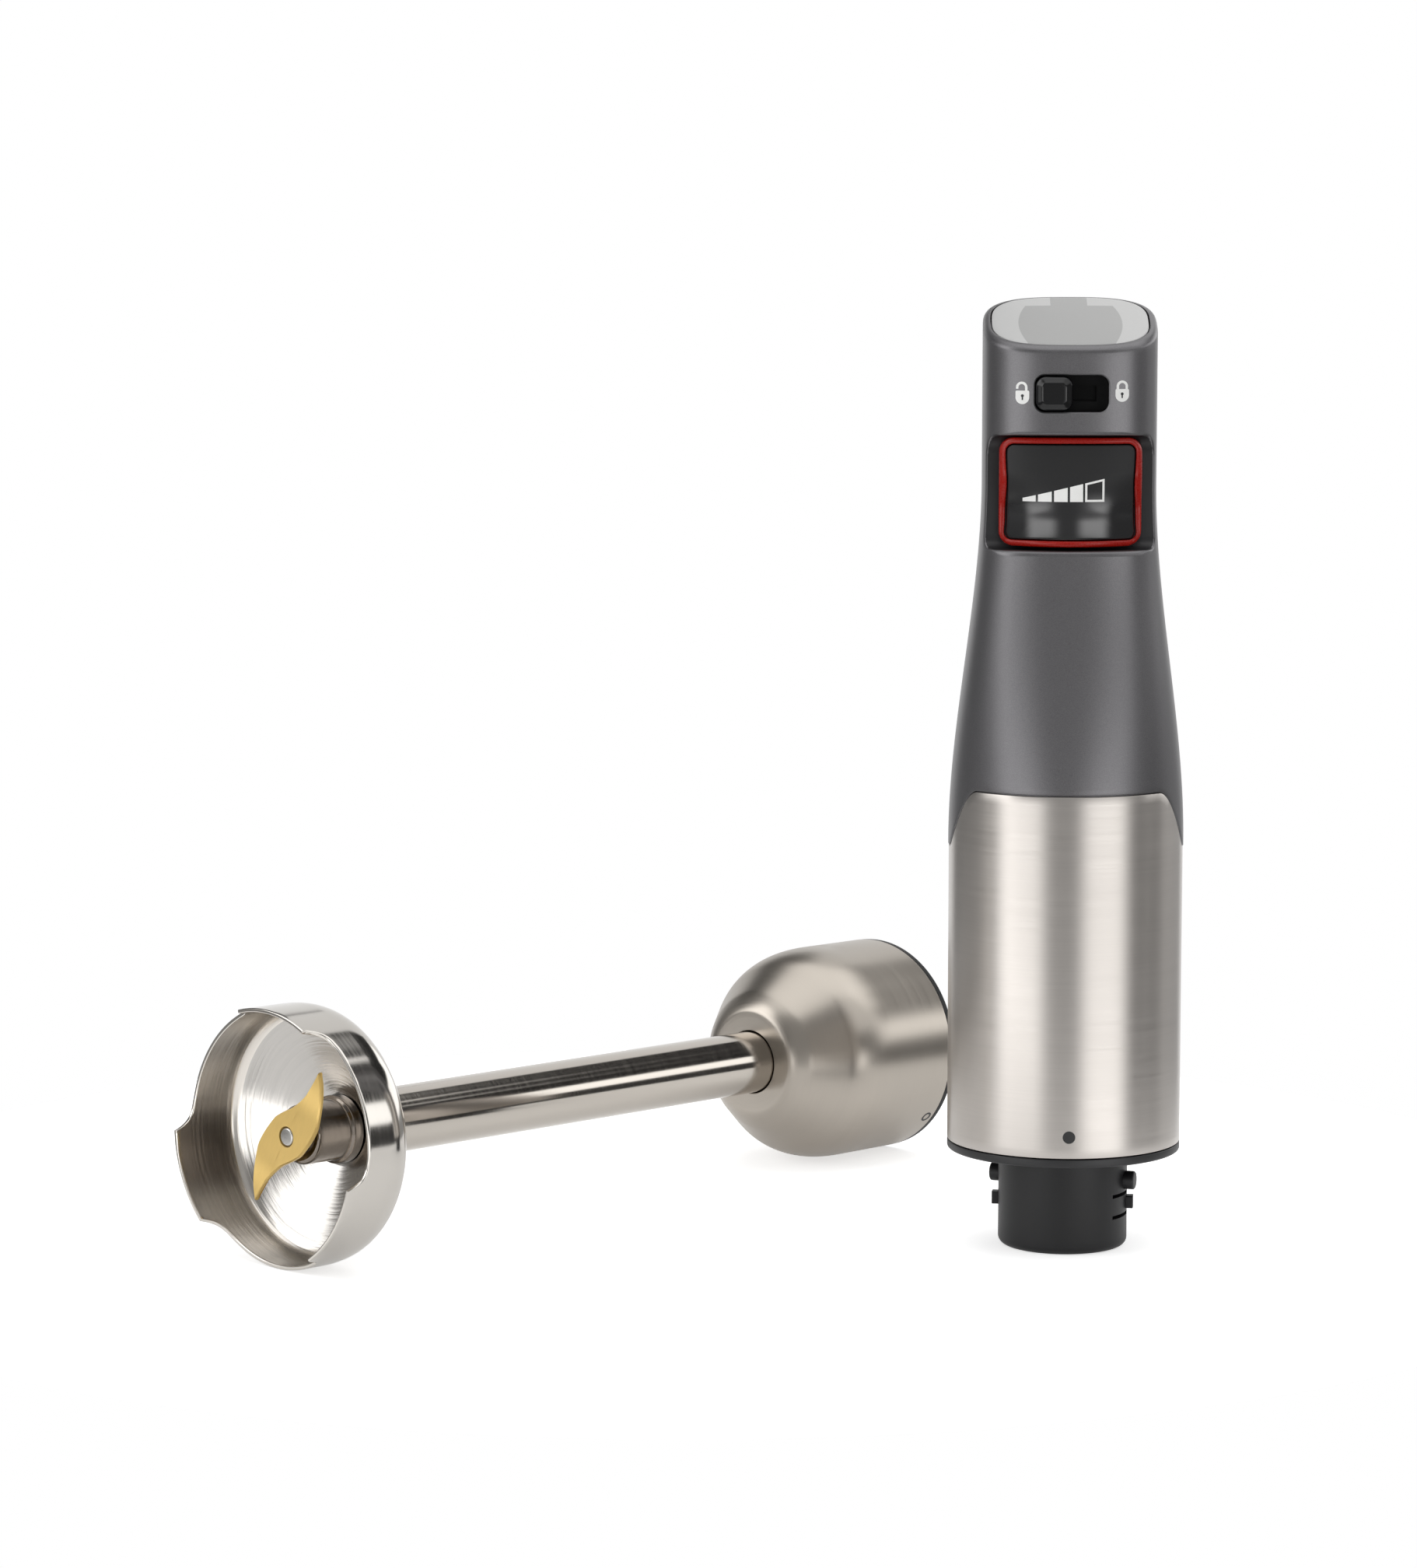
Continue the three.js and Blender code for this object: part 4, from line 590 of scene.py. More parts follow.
def sectionAt(z):
    # half width, half depth and power of the section at a height
    t = taperAt(z)
    half = mix(handle["barrelRadius"], handle["gripHalf"], t)
    return half, half * mix(1, handle["depthRatio"], t), mix(2, handle["power"], t)


def handlePoint(angle, z, inset=0.0):
    # superellipse: x = a sgn(sin) |sin|^(2/n), y = -b sgn(cos) |cos|^(2/n)
    half, depth, power = sectionAt(z)
    s, c = np.sin(angle), np.cos(angle)
    x = (half - inset) * np.sign(s) * np.abs(s) ** (2 / power)
    return x, -(depth - inset) * np.sign(c) * np.abs(c) ** (2 / power)


def seamHeight(angle):
    # high at front and back, dipping at both sides
    folded = np.degrees(np.arccos(np.abs(np.cos(angle))))
    fall = smooth((folded - handle["seamTurn"]) / handle["seamFall"])
    return handle["seamTop"] - handle["seamDrop"] * fall


def capPlane(y):
    # slanted plane: the height rises with y by the tangent of the slant
    return handle["capMiddle"] + y * math.tan(math.radians(handle["capSlant"]))


def sideAngle(z, y):
    # section angle at which the skin reaches depth y
    depth, power = sectionAt(z)[1:]
    return np.arccos(-np.sign(y) * (abs(y) / depth) ** (power / 2))


def frontDepth(x):
    # y of the straight upper part of the handle's front, over x
    half, depth, power = sectionAt(handle["taperTop"])
    return -depth * (1 - np.minimum(np.abs(x) / half, 1) ** power) ** (1 / power)


def evenAngles(first, last, count):
    # angles whose points on the grip's section are evenly spaced
    fine = np.linspace(first, last, 6001)
    x, y = handlePoint(fine, handle["taperTop"])
    run = np.concatenate([[0], np.cumsum(np.hypot(np.diff(x), np.diff(y)))])
    return np.interp(np.linspace(0, run[-1], count), run, fine)


def rows(x, y, z):
    # coordinates of matching shapes as one array of points
    return np.stack(np.broadcast_arrays(x, y, z), -1)


shell = {
    "columns": 181,
    "skirtRadius": 27.9,
    "skirtBottom": 96.0,
    "edge": 0.25,
    "rimInset": 1.85,
    "ledgeDrop": 2.2,
    "ledgeWidth": 2.0,
    "wall": 1.2,
    "notchTop": 202.9,
    "notchBottom": 175.0,
    "notchFloor": -10.5,
    "upperFillet": 5.0,
    "lowerFillet": 3.5,
    "lip": 1.1,
    "softness": 0.8,
    "rearDrop": 0.2,
    "shadeDepth": 0.9,
    "backShoulder": 196.0,
}


def lean(group, inward, upward):
    # which way the inside of the wall lies from these rows
    return np.stack(np.broadcast_arrays(inward + 0 * group[..., 0], upward + 0 * group[..., 0]), -1)


def lowerShellRows(angleAt, startAngle):
    # skirt inside the sleeve, then the step out to the skin just above the seam
    start = seamHeight(startAngle) + handle["gap"]
    skirt = shell["skirtRadius"]
    t = np.linspace(0, 1, 4)[:, None]
    angle = angleAt(start)
    z = mix(shell["skirtBottom"], start, t)
    made = [rows(skirt * np.sin(angle), -skirt * np.cos(angle), z)]
    for lift in np.radians([0, 30, 60]):
        inset, rise = shell["edge"] * (1 - math.sin(lift)), shell["edge"] * (1 - math.cos(lift))
        x, y = handlePoint(angleAt(start + rise), start + rise, inset)
        made.append(rows(x, y, start + rise)[None])
    return made, [lean(group, 1, 0) for group in made], start + shell["edge"]


def rimPlane(y):
    # the rim follows the cap's plane and falls a little below it at the back
    return capPlane(y) - shell["rearDrop"] * smooth((y - 4) / 13)


def upperShellRows(angle, start, count, lift=0.0):
    # skin up to the slanted rim, its rounding, the flat rim, the opening's wall and the cap's ledge
    top, edge = handle["taperTop"], shell["edge"]
    radius, inset, drop = handle["rimRadius"], shell["rimInset"], shell["ledgeDrop"]
    x, y = handlePoint(angle, top)
    t = np.linspace(0, 1, count + 1)[1:, None]
    z = mix(start, rimPlane(y) - radius, t)
    made = [rows(x + 0 * z, y + 0 * z, z)]
    leans = [lean(made[0], 1, lift * np.clip(1 - (z - start) / 8, 0, 1))]

    def topRow(inward, down, leanIn, leanUp):
        x, y = handlePoint(angle, top, inward)
        made.append(rows(x, y, rimPlane(y) - down)[None])
        leans.append(lean(made[-1], leanIn, leanUp))

    for a in np.radians(np.arange(1, 10) * 10):
        topRow(radius * (1 - math.cos(a)), radius * (1 - math.sin(a)), math.cos(a), -math.sin(a))
    for a in np.radians([90, 60, 30, 0]):
        topRow(inset - edge * math.cos(a), edge * (1 - math.sin(a)), 0, -1)
    for share in (0.4, 0.7, 1.0):
        topRow(inset, drop * share, -0.4, -1)
    topRow(inset + shell["ledgeWidth"] / 2, drop, -0.2, -1)
    topRow(inset + shell["ledgeWidth"], drop, 0, -1)
    return made, leans


def shellWall(name, made, leans, deep=None):
    # the rows as an outer skin, an inner skin a wall's thickness along the leans, and the edges between;
    # outer faces marked deep take the second finish, a dark grey that is painted shade in the recess
    points, leans = np.concatenate(made), np.concatenate(leans)
    shadeCells = np.zeros((2 * len(points), points.shape[1] - 1), int)
    # faces whose four corners lie deep take finish 1, the painted shade
    if deep:
        deep = np.concatenate(deep)
        shadeCells[:len(deep) - 1] = deep[:-1, :-1] & deep[:-1, 1:] & deep[1:, :-1] & deep[1:, 1:]
    inward = -points[..., :2] / np.linalg.norm(points[..., :2], axis=-1, keepdims=True)
    inner = points + shell["wall"] * np.concatenate([inward * leans[..., :1], leans[..., 1:]], -1)
    sheets = [sheet(np.concatenate([points, inner[::-1]]), closeRows=True, finish=shadeCells.ravel())]
    sheets += [sheet(np.stack([points[:, end], inner[:, end]])) for end in (0, -1)]
    return meshFrom(name, sheets, onUnit, [finishes["housing"], finishes["pocket"]])


def frontShell():
    # heightfield over the section: skin, and between the notch's edges the larger of skin and notch outline
    splitY = handle["split"] - handle["gap"] / 2
    last = sideAngle(handle["taperTop"], splitY)
    shares = evenAngles(-last, last, shell["columns"]) / last

    def angleAt(z):
        return shares * sideAngle(z, splitY)

    low, high, floor = shell["notchBottom"], shell["notchTop"], shell["notchFloor"]
    made, leans, start = lowerShellRows(angleAt, angleAt(handle["seamTop"] - handle["seamDrop"] / 2))
    # marks of the points that lie deeper than the skin; their faces take the painted shade of the recess
    deep = [np.zeros(group.shape[:2], bool) for group in made]

    def skinAt(z):
        return handlePoint(angleAt(z), z)

    def corner(edge, fillet, upwards):
        # where each column meets the fillet: its angle on the arc, the height there and the lip's radius
        z = edge + 0 * shares
        for _ in range(3):
            room = floor - skinAt(z)[1]
            first = np.arcsin(np.clip(1 - room / fillet, 0, 1))
            z = edge + upwards * fillet * (1 - np.cos(first))
        return first, z, np.minimum(shell["lip"], 0.3 * np.maximum(0, room - fillet))

    def notchAt(z):
        # side outline of the notch: floor with a round corner at each end; past them it lies far in front
        lower, upper = shell["lowerFillet"], shell["upperFillet"]
        a = np.clip((low + lower - z) / lower, 0, 1)
        b = np.clip((z - high + upper) / upper, 0, 1)
        depth = floor - lower * (1 - np.sqrt(1 - a * a)) - upper * (1 - np.sqrt(1 - b * b))
        return np.where((z >= low) & (z <= high), depth, -99)

    def surface(z, upward=0.0):
        x, y = skinAt(z)
        made.append(rows(x, smoothMax(y, notchAt(z), shell["softness"]), z))
        deep.append(made[-1][..., 1] - y > shell["shadeDepth"])
        leans.append(lean(made[-1], 1, upward))

    def wall(y, z, upward):
        x, ySkin = skinAt(z)
        made.append(rows(x, smoothMax(y, ySkin, 0.02), z))
        deep.append(made[-1][..., 1] - ySkin > shell["shadeDepth"])
        leans.append(lean(made[-1], 1, upward))

    firstLow, endLow, lipLow = corner(low, shell["lowerFillet"], 1)
    firstHigh, endHigh, lipHigh = corner(high, shell["upperFillet"], -1)
    near = np.array([0.9, 0.6, 0.3, 0.0])[:, None]
    t = np.linspace(0, 1, 44)[:, None]
    surface(mix(start, endLow - lipLow - 1.2, t), -smooth((t - 0.8) / 0.2))
    surface(endLow - lipLow - near, -1)
    turn = np.radians(np.arange(1, 10) * 10)[:, None]
    share = np.linspace(0, 1, 5)[1:-1, None]
    ySkin = skinAt(endLow)[1]
    wall(ySkin + lipLow * (1 - np.cos(turn)), endLow - lipLow + lipLow * np.sin(turn), -1)
    yArc = floor - shell["lowerFillet"] * (1 - np.sin(firstLow))
    wall(mix(ySkin + lipLow, np.maximum(yArc, ySkin + lipLow), share), endLow + 0 * share, -1)
    turnLow = mix(firstLow, math.pi / 2, np.linspace(0, 1, 11)[:, None])
    surface(low + shell["lowerFillet"] * (1 - np.cos(turnLow)), -np.cos(turnLow))
    middle = np.linspace(0, 1, 18)[1:-1, None]
    surface(mix(low + shell["lowerFillet"], high - shell["upperFillet"], middle) + 0 * shares)
    turnHigh = mix(math.pi / 2, firstHigh, np.linspace(0, 1, 11)[:, None])
    surface(high - shell["upperFillet"] * (1 - np.cos(turnHigh)), np.cos(turnHigh))
    ySkin = skinAt(endHigh)[1]
    yArc = floor - shell["upperFillet"] * (1 - np.sin(firstHigh))
    wall(mix(np.maximum(yArc, ySkin + lipHigh), ySkin + lipHigh, share), endHigh + 0 * share, 1)
    wall(ySkin + lipHigh * (1 - np.sin(turn)), endHigh + lipHigh * (1 - np.cos(turn)), 1)
    surface(endHigh + lipHigh + near[::-1], 1)
    above, aboveLeans = upperShellRows(angleAt(high), endHigh + lipHigh + 0.9, 16, 1.0)
    deep += [np.zeros(group.shape[:2], bool) for group in above]
    return shellWall("front_housing", made + above, leans + aboveLeans, deep)


slot = {"half": (8.95, 4.5), "corner": 2.4, "height": 213.1, "flare": 0.3}


def slotTool():
    # rounded hole whose mouth widens at 45 degrees where it meets the skin
    flare = slot["flare"]
    levels = [(6.0, 0.0), (flare, 0.0), (-flare, 2 * flare), (-4.0, 2 * flare)]
    made = []
    for depth, grow in levels:
        outline = roundedOutline(slot["half"][0] + grow, slot["half"][1] + grow, slot["corner"] + grow)
        x, z = outline.T
        made.append(rows(x, frontDepth(x) + depth, z + slot["height"]))
    return sheet(np.stack(made), closeCols=True, lids=True)


ear = {"out": 12.4, "half": 0.9, "front": -15.7, "back": -9.5, "low": 194.0, "high": 197.6}


def pinEars():
    # two lugs on the notch floor that carry the trigger's pin
    spots = [side * ear["out"] for side in (-1, 1)]
    return [blockOf((x - ear["half"], ear["front"], ear["low"]), (x + ear["half"], ear["back"], ear["high"]))
            for x in spots]


screws = {
    "upper": (13.6, 213.1),
    "lower": (19.0, 124.8),
    "head": 2.6,
    "shank": 1.3,
    "seat": 12.0,
    "length": 18.0,
    "cross": ((1.4, 0.3), (0.3, 1.4)),
    "bossFront": 6.15,
}
screwSpots = [(side * x, z, f"shell_screw_{row}_{name}") for row in ("upper", "lower")
              for side, name in ((-1, "left"), (1, "right")) for x, z in [screws[row]]]


inlet = {"height": 213.0, "hole": 5.7, "out": 20.8}


def backShell():
    # the same skin and seam round the back, from one parting line to the other
    splitY = handle["split"] + handle["gap"] / 2
    last = math.pi - sideAngle(handle["taperTop"], splitY)
    shares = (evenAngles(math.pi - last, math.pi + last, shell["columns"]) - math.pi) / last

    def angleAt(z):
        return math.pi + shares * (math.pi - sideAngle(z, splitY))

    made, leans, start = lowerShellRows(angleAt, angleAt(handle["seamTop"] - handle["seamDrop"] / 2))
    z = mix(start, shell["backShoulder"], np.linspace(0, 1, 50)[:, None])
    x, y = handlePoint(angleAt(z), z)
    made.append(rows(x, y, z))
    leans.append(lean(made[-1], 1, 0))
    above, aboveLeans = upperShellRows(angleAt(handle["taperTop"]), shell["backShoulder"], 26)
    piece = shellWall("back_housing", made + above, leans + aboveLeans)
    room = screws["head"] + handle["gap"]
    holes = [extruded(circle(room, 40, (x, z)), 8, 40, "y") for x, z, name in screwSpots]
    holes.append(extruded(circle(inlet["hole"], 64, (0, inlet["height"])), 8, 40, "y"))
    return carved(piece, holes, onUnit)


def screwBosses():
    # sleeves inside the back housing that take the screws
    made = []
    for x, z, name in screwSpots:
        back = float(handlePoint(math.pi - math.asin(min(1, abs(x) / 30)), z)[1]) - 2.2
        bore, wall, seat = screws["shank"] + 0.3, screws["head"] + 1.3, screws["seat"]
        room = screws["head"] + 0.3
        front = screws["bossFront"]
        profile = [(bore, front), (wall, front), (wall, back), (room, back), (room, seat), (bore, seat)]
        made.append(moved(turned(profile, 40), lambda points: swapped(points, "y") + [x, 0, z]))
    return made


def shellScrews():
    # profile turned round the screw's axis, with a cross cut into its head
    seat, head, shank, length = screws["seat"] + 0.15, screws["head"], screws["shank"], screws["length"]
    profile = [(0, seat - length), (shank, seat - length + 0.8), (shank, seat), (head, seat),
               (head, seat + 1.3), (head - 0.6, seat + 1.85), (0, seat + 1.85)]
    profile = dense(rounded(profile, [0, 0.2, 0.1, 0.2, 0.3, 0.6, 0], 3), 2.0, closed=False)
    for x, z, name in screwSpots:
        screw = moved(turned(profile, 40, closed=False), lambda points: swapped(points, "y") + [x, 0, z])
        piece = meshFrom(name.replace("shell_", "housing_"), [screw], onUnit, [finishes["steel"]])
        cross = [blockOf((x - a, seat + 0.7, z - b), (x + a, seat + 3, z + b)) for a, b in screws["cross"]]
        settled(carved(piece, cross, onUnit), "motor_unit", [name])


print("housing ...")
front = carved(frontShell(), [slotTool()], onUnit)
front = carved(front, pinEars(), onUnit, "UNION")
settled(front, "motor_unit", ["front_shell"])
settled(backShell(), "motor_unit", ["back_shell"])
settled(meshFrom("screw_bosses", screwBosses(), onUnit, [finishes["housing"]]), "motor_unit")
shellScrews()

cap = {"half": 19.2, "thickness": 1.9, "crown": 0.5, "edge": 0.25, "columns": 240, "rings": 26}


def topCap():
    # polar grid: the outline scaled by rho, height of the plane plus crown (1 - rho^2)
    angle = evenAngles(0, 2 * math.pi, cap["columns"] + 1)[:-1]
    x, y = handlePoint(angle, handle["taperTop"], handle["gripHalf"] - cap["half"])
    made = []

    def ring(rho, lift):
        made.append(rows(x * rho, y * rho, capPlane(y * rho) + lift))

    for rho in np.linspace(0.0, 1.0, 8):
        ring(rho, -cap["thickness"])
    ring(1.0, -cap["edge"] * 2)
    for a in np.radians([0, 22, 45, 68, 90]):
        ring(1 - cap["edge"] * (1 - math.cos(a)) / cap["half"], -cap["edge"] * (1 - math.sin(a)))
    for rho in np.linspace(1 - cap["edge"] / cap["half"], 0, cap["rings"])[1:]:
        ring(rho, cap["crown"] * (1 - rho * rho))
    return meshFrom("top_cap_plate", [sheet(np.stack(made), closeCols=True)], onUnit, [finishes["cap"]])


settled(topCap(), "motor_unit", ["top_cap"])

trigger = {
    "half": (17.35, 13.25),
    "middle": 189.15,
    "bottom": 175.9,
    "top": 202.4,
    "corner": 3.6,
    "front": 21.0,
    "scoop": 2.8,
    "tuck": 0.6,
    "wall": 1.0,
    "rimWidth": 1.5,
    "rimProud": 0.35,
    "rimDepth": 3.4,
    "gap": 0.3,
    "noseRadius": 18.0,
    "noseEnds": 11.5,
    "waist": 0.35,
    "flare": 0.4,
    "pin": 195.8,
    "pinBore": 1.15,
    "arms": 9.8,
}


def noseDepth(x):
    # how far the round nose falls back: a circle, then its tangent, then nearly flat under the bead
    a = np.abs(x)
    radius, ends = trigger["noseRadius"], trigger["noseEnds"]
    rim = trigger["half"][0] - trigger["rimWidth"] - trigger["gap"]
    slope = ends / math.sqrt(radius ** 2 - ends ** 2)
    arc = radius - np.sqrt(radius ** 2 - np.minimum(a, ends) ** 2)
    return arc + slope * np.clip(a - ends, 0, rim - ends) + 0.1 * np.maximum(0, a - rim)


def triggerFace(x, z):
    # a round nose low down, leaning back above and there wrapped round the grip's section
    t = (z - trigger["bottom"]) / (trigger["top"] - trigger["bottom"])
    scoop = trigger["scoop"] * (np.sqrt(np.maximum(0, (t - 0.2) / 0.8) ** 2 + 0.01) - 0.1)
    tuck = trigger["tuck"] * np.maximum(0, 1 - t / 0.25) ** 2
    power = handle["power"]
    wrap = (1 - np.minimum(0.98, np.abs(x) / handle["gripHalf"]) ** power) ** (1 / power)
    reach = trigger["front"] - scoop - tuck
    nose = 1 - smooth((t - 0.3) / 0.4)
    return -reach + mix(reach * (1 - wrap), noseDepth(x), nose)


def triggerBack(z):
    # back edge, clear of the notch floor when the trigger is pressed by five degrees
    press = math.sin(math.radians(5)) * np.maximum(0, trigger["pin"] - z)
    heel = (shell["lowerFillet"] - 1.2) * (1 - smooth((z - trigger["bottom"]) / 6))
    return shell["notchFloor"] - 2 * trigger["gap"] - press - heel


def triggerOutline(inset):
    # rectangle with round corners, drawn in by the inset
    corner = max(0.8, trigger["corner"] - inset)
    half = trigger["half"]
    middle = (0, trigger["middle"])
    x, z = roundedOutline(half[0] - inset, half[1] - inset, corner, middle, line=28, turn=10).T
    # the bead's inner edge is drawn in half way up and let out at the foot
    waist = trigger["waist"] * np.exp(-((z - trigger["middle"] - 2) / 4.5) ** 2)
    flare = trigger["flare"] * (1 - smooth((z - trigger["bottom"]) / 7))
    share = min(1, inset / trigger["rimWidth"]) * smooth((np.abs(x) - 11) / 3)
    return x - np.sign(x) * share * (waist - flare), z


def facePoint(outline, scale, depth):
    # outline drawn in to the middle by the scale, laid on the trigger's face at a depth
    x, z = outline[0] * scale, mix(trigger["middle"], outline[1], scale)
    return rows(x, triggerFace(x, z) + depth, z)


def triggerCover():
    # sides from the notch floor, face in shrinking outlines, and an inner skin a wall behind it
    edge = trigger["rimWidth"] + trigger["gap"]
    outer, inner = triggerOutline(edge), triggerOutline(edge + trigger["wall"])

    def backRow(outline, depth):
        x, z = outline
        return rows(x, np.maximum(triggerBack(z), triggerFace(x, z) + depth), z)

    made = [mix(facePoint(outer, 1, 0.3), backRow(outer, 0.5), t) for t in (1.0, 0.6, 0.2)]
    made += [facePoint(outer, 1 - 0.02 * (1 - math.cos(a)), 0.3 * (1 - math.sin(a)))
             for a in np.radians([0, 30, 60, 90])]
    made += [facePoint(outer, s, 0) for s in np.linspace(0.98, 0, 34)[1:]]
    made += [facePoint(inner, s, trigger["wall"]) for s in np.linspace(0, 1, 12)]
    made.append(backRow(inner, trigger["wall"] + 0.1))
    low, high = trigger["pin"] - 1.9, trigger["pin"] + 1.9
    arms = [blockOf((x - 1, -17.6, low), (x + 1, -11.6, high)) for x in (-trigger["arms"], trigger["arms"])]
    rib = blockOf((-1.5, -19.2, 179.5), (1.5, -9.2, 182.5))
    cover = sheet(np.stack(made), closeRows=True, closeCols=True)
    piece = meshFrom("trigger_button", [cover], onUnit, [finishes["gloss"]])
    carved(piece, [*arms, rib], onUnit, "UNION")
    bore = circle(trigger["pinBore"], 24, (-13.5, trigger["pin"]))
    return carved(piece, [extruded(bore, -14, 14, "x")], onUnit)


def triggerRim():
    # half-round bead round the trigger, its back following the trigger's
    width, proud = trigger["rimWidth"], trigger["rimProud"]
    made = []
    for a in np.radians(np.linspace(180, 0, 13)):
        outline = triggerOutline(width / 2 + width / 2 * math.cos(a))
        made.append(facePoint(outline, 1, 0.45 - (0.45 + proud) * math.sin(a) ** 0.6))

    def backRow(inset):
        x, z = triggerOutline(inset)
        face = triggerFace(x, z)
        return rows(x, np.maximum(np.minimum(face + trigger["rimDepth"], triggerBack(z)), face + 0.6), z)

    made += [backRow(0.0), backRow(width)][::-1]
    bead = sheet(np.stack(made), closeRows=True, closeCols=True)
    return meshFrom("trigger_bead", [bead], onUnit, [finishes["red"]])


print("trigger and lock ...")
settled(triggerCover(), "trigger", ["trigger_cover"])
settled(triggerRim(), "trigger", ["trigger_rim"], crease=50)

lock = {
    "trayFront": -18.1,
    "trayFloor": -15.9,
    "trayWall": 1.0,
    "travel": 8.4,
    "stem": 3.2,
    "knob": (4.5, 4.2),
    "knobX": -4.2,
    "knobFront": -21.55,
    "bevel": 1.7,
    "bevelDepth": 1.2,
}


def lockTray():
    # shallow dish behind the slot, with the slit that the knob's stem runs in
    half, corner, height = slot["half"], slot["corner"], slot["height"]
    wall = lock["trayWall"]
    outer = roundedOutline(half[0] + wall, half[1] + wall, wall + 0.4, (0, height))
    inner = roundedOutline(half[0], half[1], corner, (0, height))

    def ring(outline, y, scale=1.0):
        return rows(outline[:, 0] * scale, y, height + (outline[:, 1] - height) * scale)

    front, floor = lock["trayFront"], lock["trayFloor"]
    made = [ring(outer, floor + wall, 0.0), ring(outer, floor + wall), ring(outer, front)]
    made += [ring(inner, front), ring(inner, floor - 0.4), ring(inner, floor - 0.1, 0.985)]
    made += [ring(inner, floor, s) for s in (0.95, 0.6, 0.0)]
    piece = meshFrom("lock_dish", [sheet(np.stack(made), closeCols=True)], onUnit, [finishes["dish"]])
    slit = lock["stem"] / 2 + 0.3
    low = (lock["knobX"] - slit, floor - 1, height - slit)
    high = (lock["knobX"] + lock["travel"] + slit, floor + 2 * wall, height + slit)
    return carved(piece, [blockOf(low, high)], onUnit)


def paintedShadeBehind(piece, depth, finish):
    # faces whose centre lies behind the depth take a second finish; on the knob it is the dish's darker
    # black, partly painted shade behind the slit
    faces = piece.data.polygons
    centre = np.empty(len(faces) * 3)
    faces.foreach_get("center", centre)
    y = (centre.reshape(-1, 3)[:, 1] - unitAxis[1]) / mm
    piece.data.materials.append(finish)
    faces.foreach_set("material_index", (y > depth).astype(np.int32) * (len(piece.data.materials) - 1))
    return piece


def lockKnob():
    # rounded square with slanted edges: the outline shrinks by the bevel while it rises by its depth
    halfX, halfZ = lock["knob"]
    front, bevel, depth = lock["knobFront"], lock["bevel"], lock["bevelDepth"]
    back = lock["trayFloor"] - 0.3
    steps = [(0.0, back), (0.0, front + depth + 0.5)]
    steps += [(0.05, front + depth + 0.12), (0.2, front + depth - 0.12)]
    steps += [(bevel * t, front + depth * (1 - t)) for t in (0.35, 0.6, 0.85)]
    steps += [(bevel * 0.94, front + 0.05), (bevel * 1.06, front)]
    made = []
    for inset, y in steps:
        outline = roundedOutline(halfX - inset, halfZ - inset, 2.5 - 0.85 * inset)
        made.append(rows(outline[:, 0] + lock["knobX"], y, outline[:, 1] + slot["height"]))
    last = made[-1]
    x, height = lock["knobX"], slot["height"]
    centre = np.array([x, front, height])
    made += [mix(centre, last, s) for s in (0.8, 0.4, 0.0)]
    made.insert(0, mix(made[0], centre * [1, 0, 1] + [0, back, 0], 1.0))
    piece = meshFrom("lock_knob", [sheet(np.stack(made), closeCols=True)], onUnit, [finishes["knob"]])
    plate, stem, reach = lock["trayFloor"] + lock["trayWall"] + 0.3, lock["stem"] / 2, lock["travel"] + 2.4
    post = blockOf((x - stem, back - 0.4, height - stem), (x + stem, plate + 0.6, height + stem))
    bolt = blockOf((x - 3.2, plate + 0.7, height - 4.75), (x + 3.2, plate + 1.2, height + 2.4))
    shutter = blockOf((x - reach, plate, height - 2.6), (x + reach, plate + 0.8, height + 2.6))
    carved(piece, [post], onUnit, "UNION")
    carved(piece, [shutter], onUnit, "UNION")
    carved(piece, [bolt], onUnit, "UNION")
    return paintedShadeBehind(piece, lock["trayFloor"] + 0.2, finishes["dish"])


settled(lockTray(), "motor_unit", ["lock_tray"])
settled(lockKnob(), "lock", ["lock_slider"])

sleeve = {"radius": 29.0, "wall": 0.8, "bottom": 26.9, "edge": 0.15, "columns": 288}


def steelSleeve():
    # closed section carried round: its top edge follows the seam
    angle = np.arange(sleeve["columns"]) / sleeve["columns"] * 2 * math.pi
    top = seamHeight(angle)
    outer, edge = sleeve["radius"], sleeve["edge"]
    inner = outer - sleeve["wall"]
    bottom = sleeve["bottom"]

    def ring(radius, z):
        return rows(radius * np.sin(angle), -radius * np.cos(angle), z)

    made = [ring(inner, top - edge), ring(inner, bottom + edge), ring(inner + edge, bottom)]
    made += [ring(outer - edge, bottom), ring(outer - 0.3 * edge, bottom + 0.3 * edge)]
    made.append(ring(outer, bottom + edge))
    made += [ring(outer, mix(bottom + edge, top - edge, t)) for t in np.linspace(0, 1, 40)[1:]]
    made += [ring(outer - 0.3 * edge, top - 0.3 * edge), ring(outer - edge, top), ring(inner + edge, top)]
    wall = sheet(np.stack(made), closeRows=True, closeCols=True)
    return meshFrom("sleeve_tube", [wall], onUnit, [finishes["sleeve"]])


base = {
    "bottom": 24.5,
    "top": 26.6,
    "bore": 16.4,
    "screwCircle": 20.4,
    "screwAngles": (90, 210, 330),
    "screwTop": 33.4,
    "cross": ((1.5, 0.3), (0.3, 1.5)),
}


def baseRing():
    # rounded rectangle turned round the axis, with a stepped hole for each screw
    bore, radius, low, high = base["bore"], sleeve["radius"], base["bottom"], base["top"]
    profile = [(bore, low), (radius, low), (radius, high), (bore, high)]
    profile = dense(rounded(profile, [0.3, 0.6, 0.2, 0.2], 5), 1.5)
    piece = meshFrom("base_plate", [turned(profile, 192)], onUnit, [finishes["black"]])
    tools = []
    for a in np.radians(base["screwAngles"]):
        spot = (base["screwCircle"] * math.cos(a), base["screwCircle"] * math.sin(a))
        tools.append(extruded(circle(1.6, 32, spot), 20, 30))
        tools.append(extruded(circle(2.9, 40, spot), 20, base["bottom"] + 1.2))
    return carved(piece, tools, onUnit)


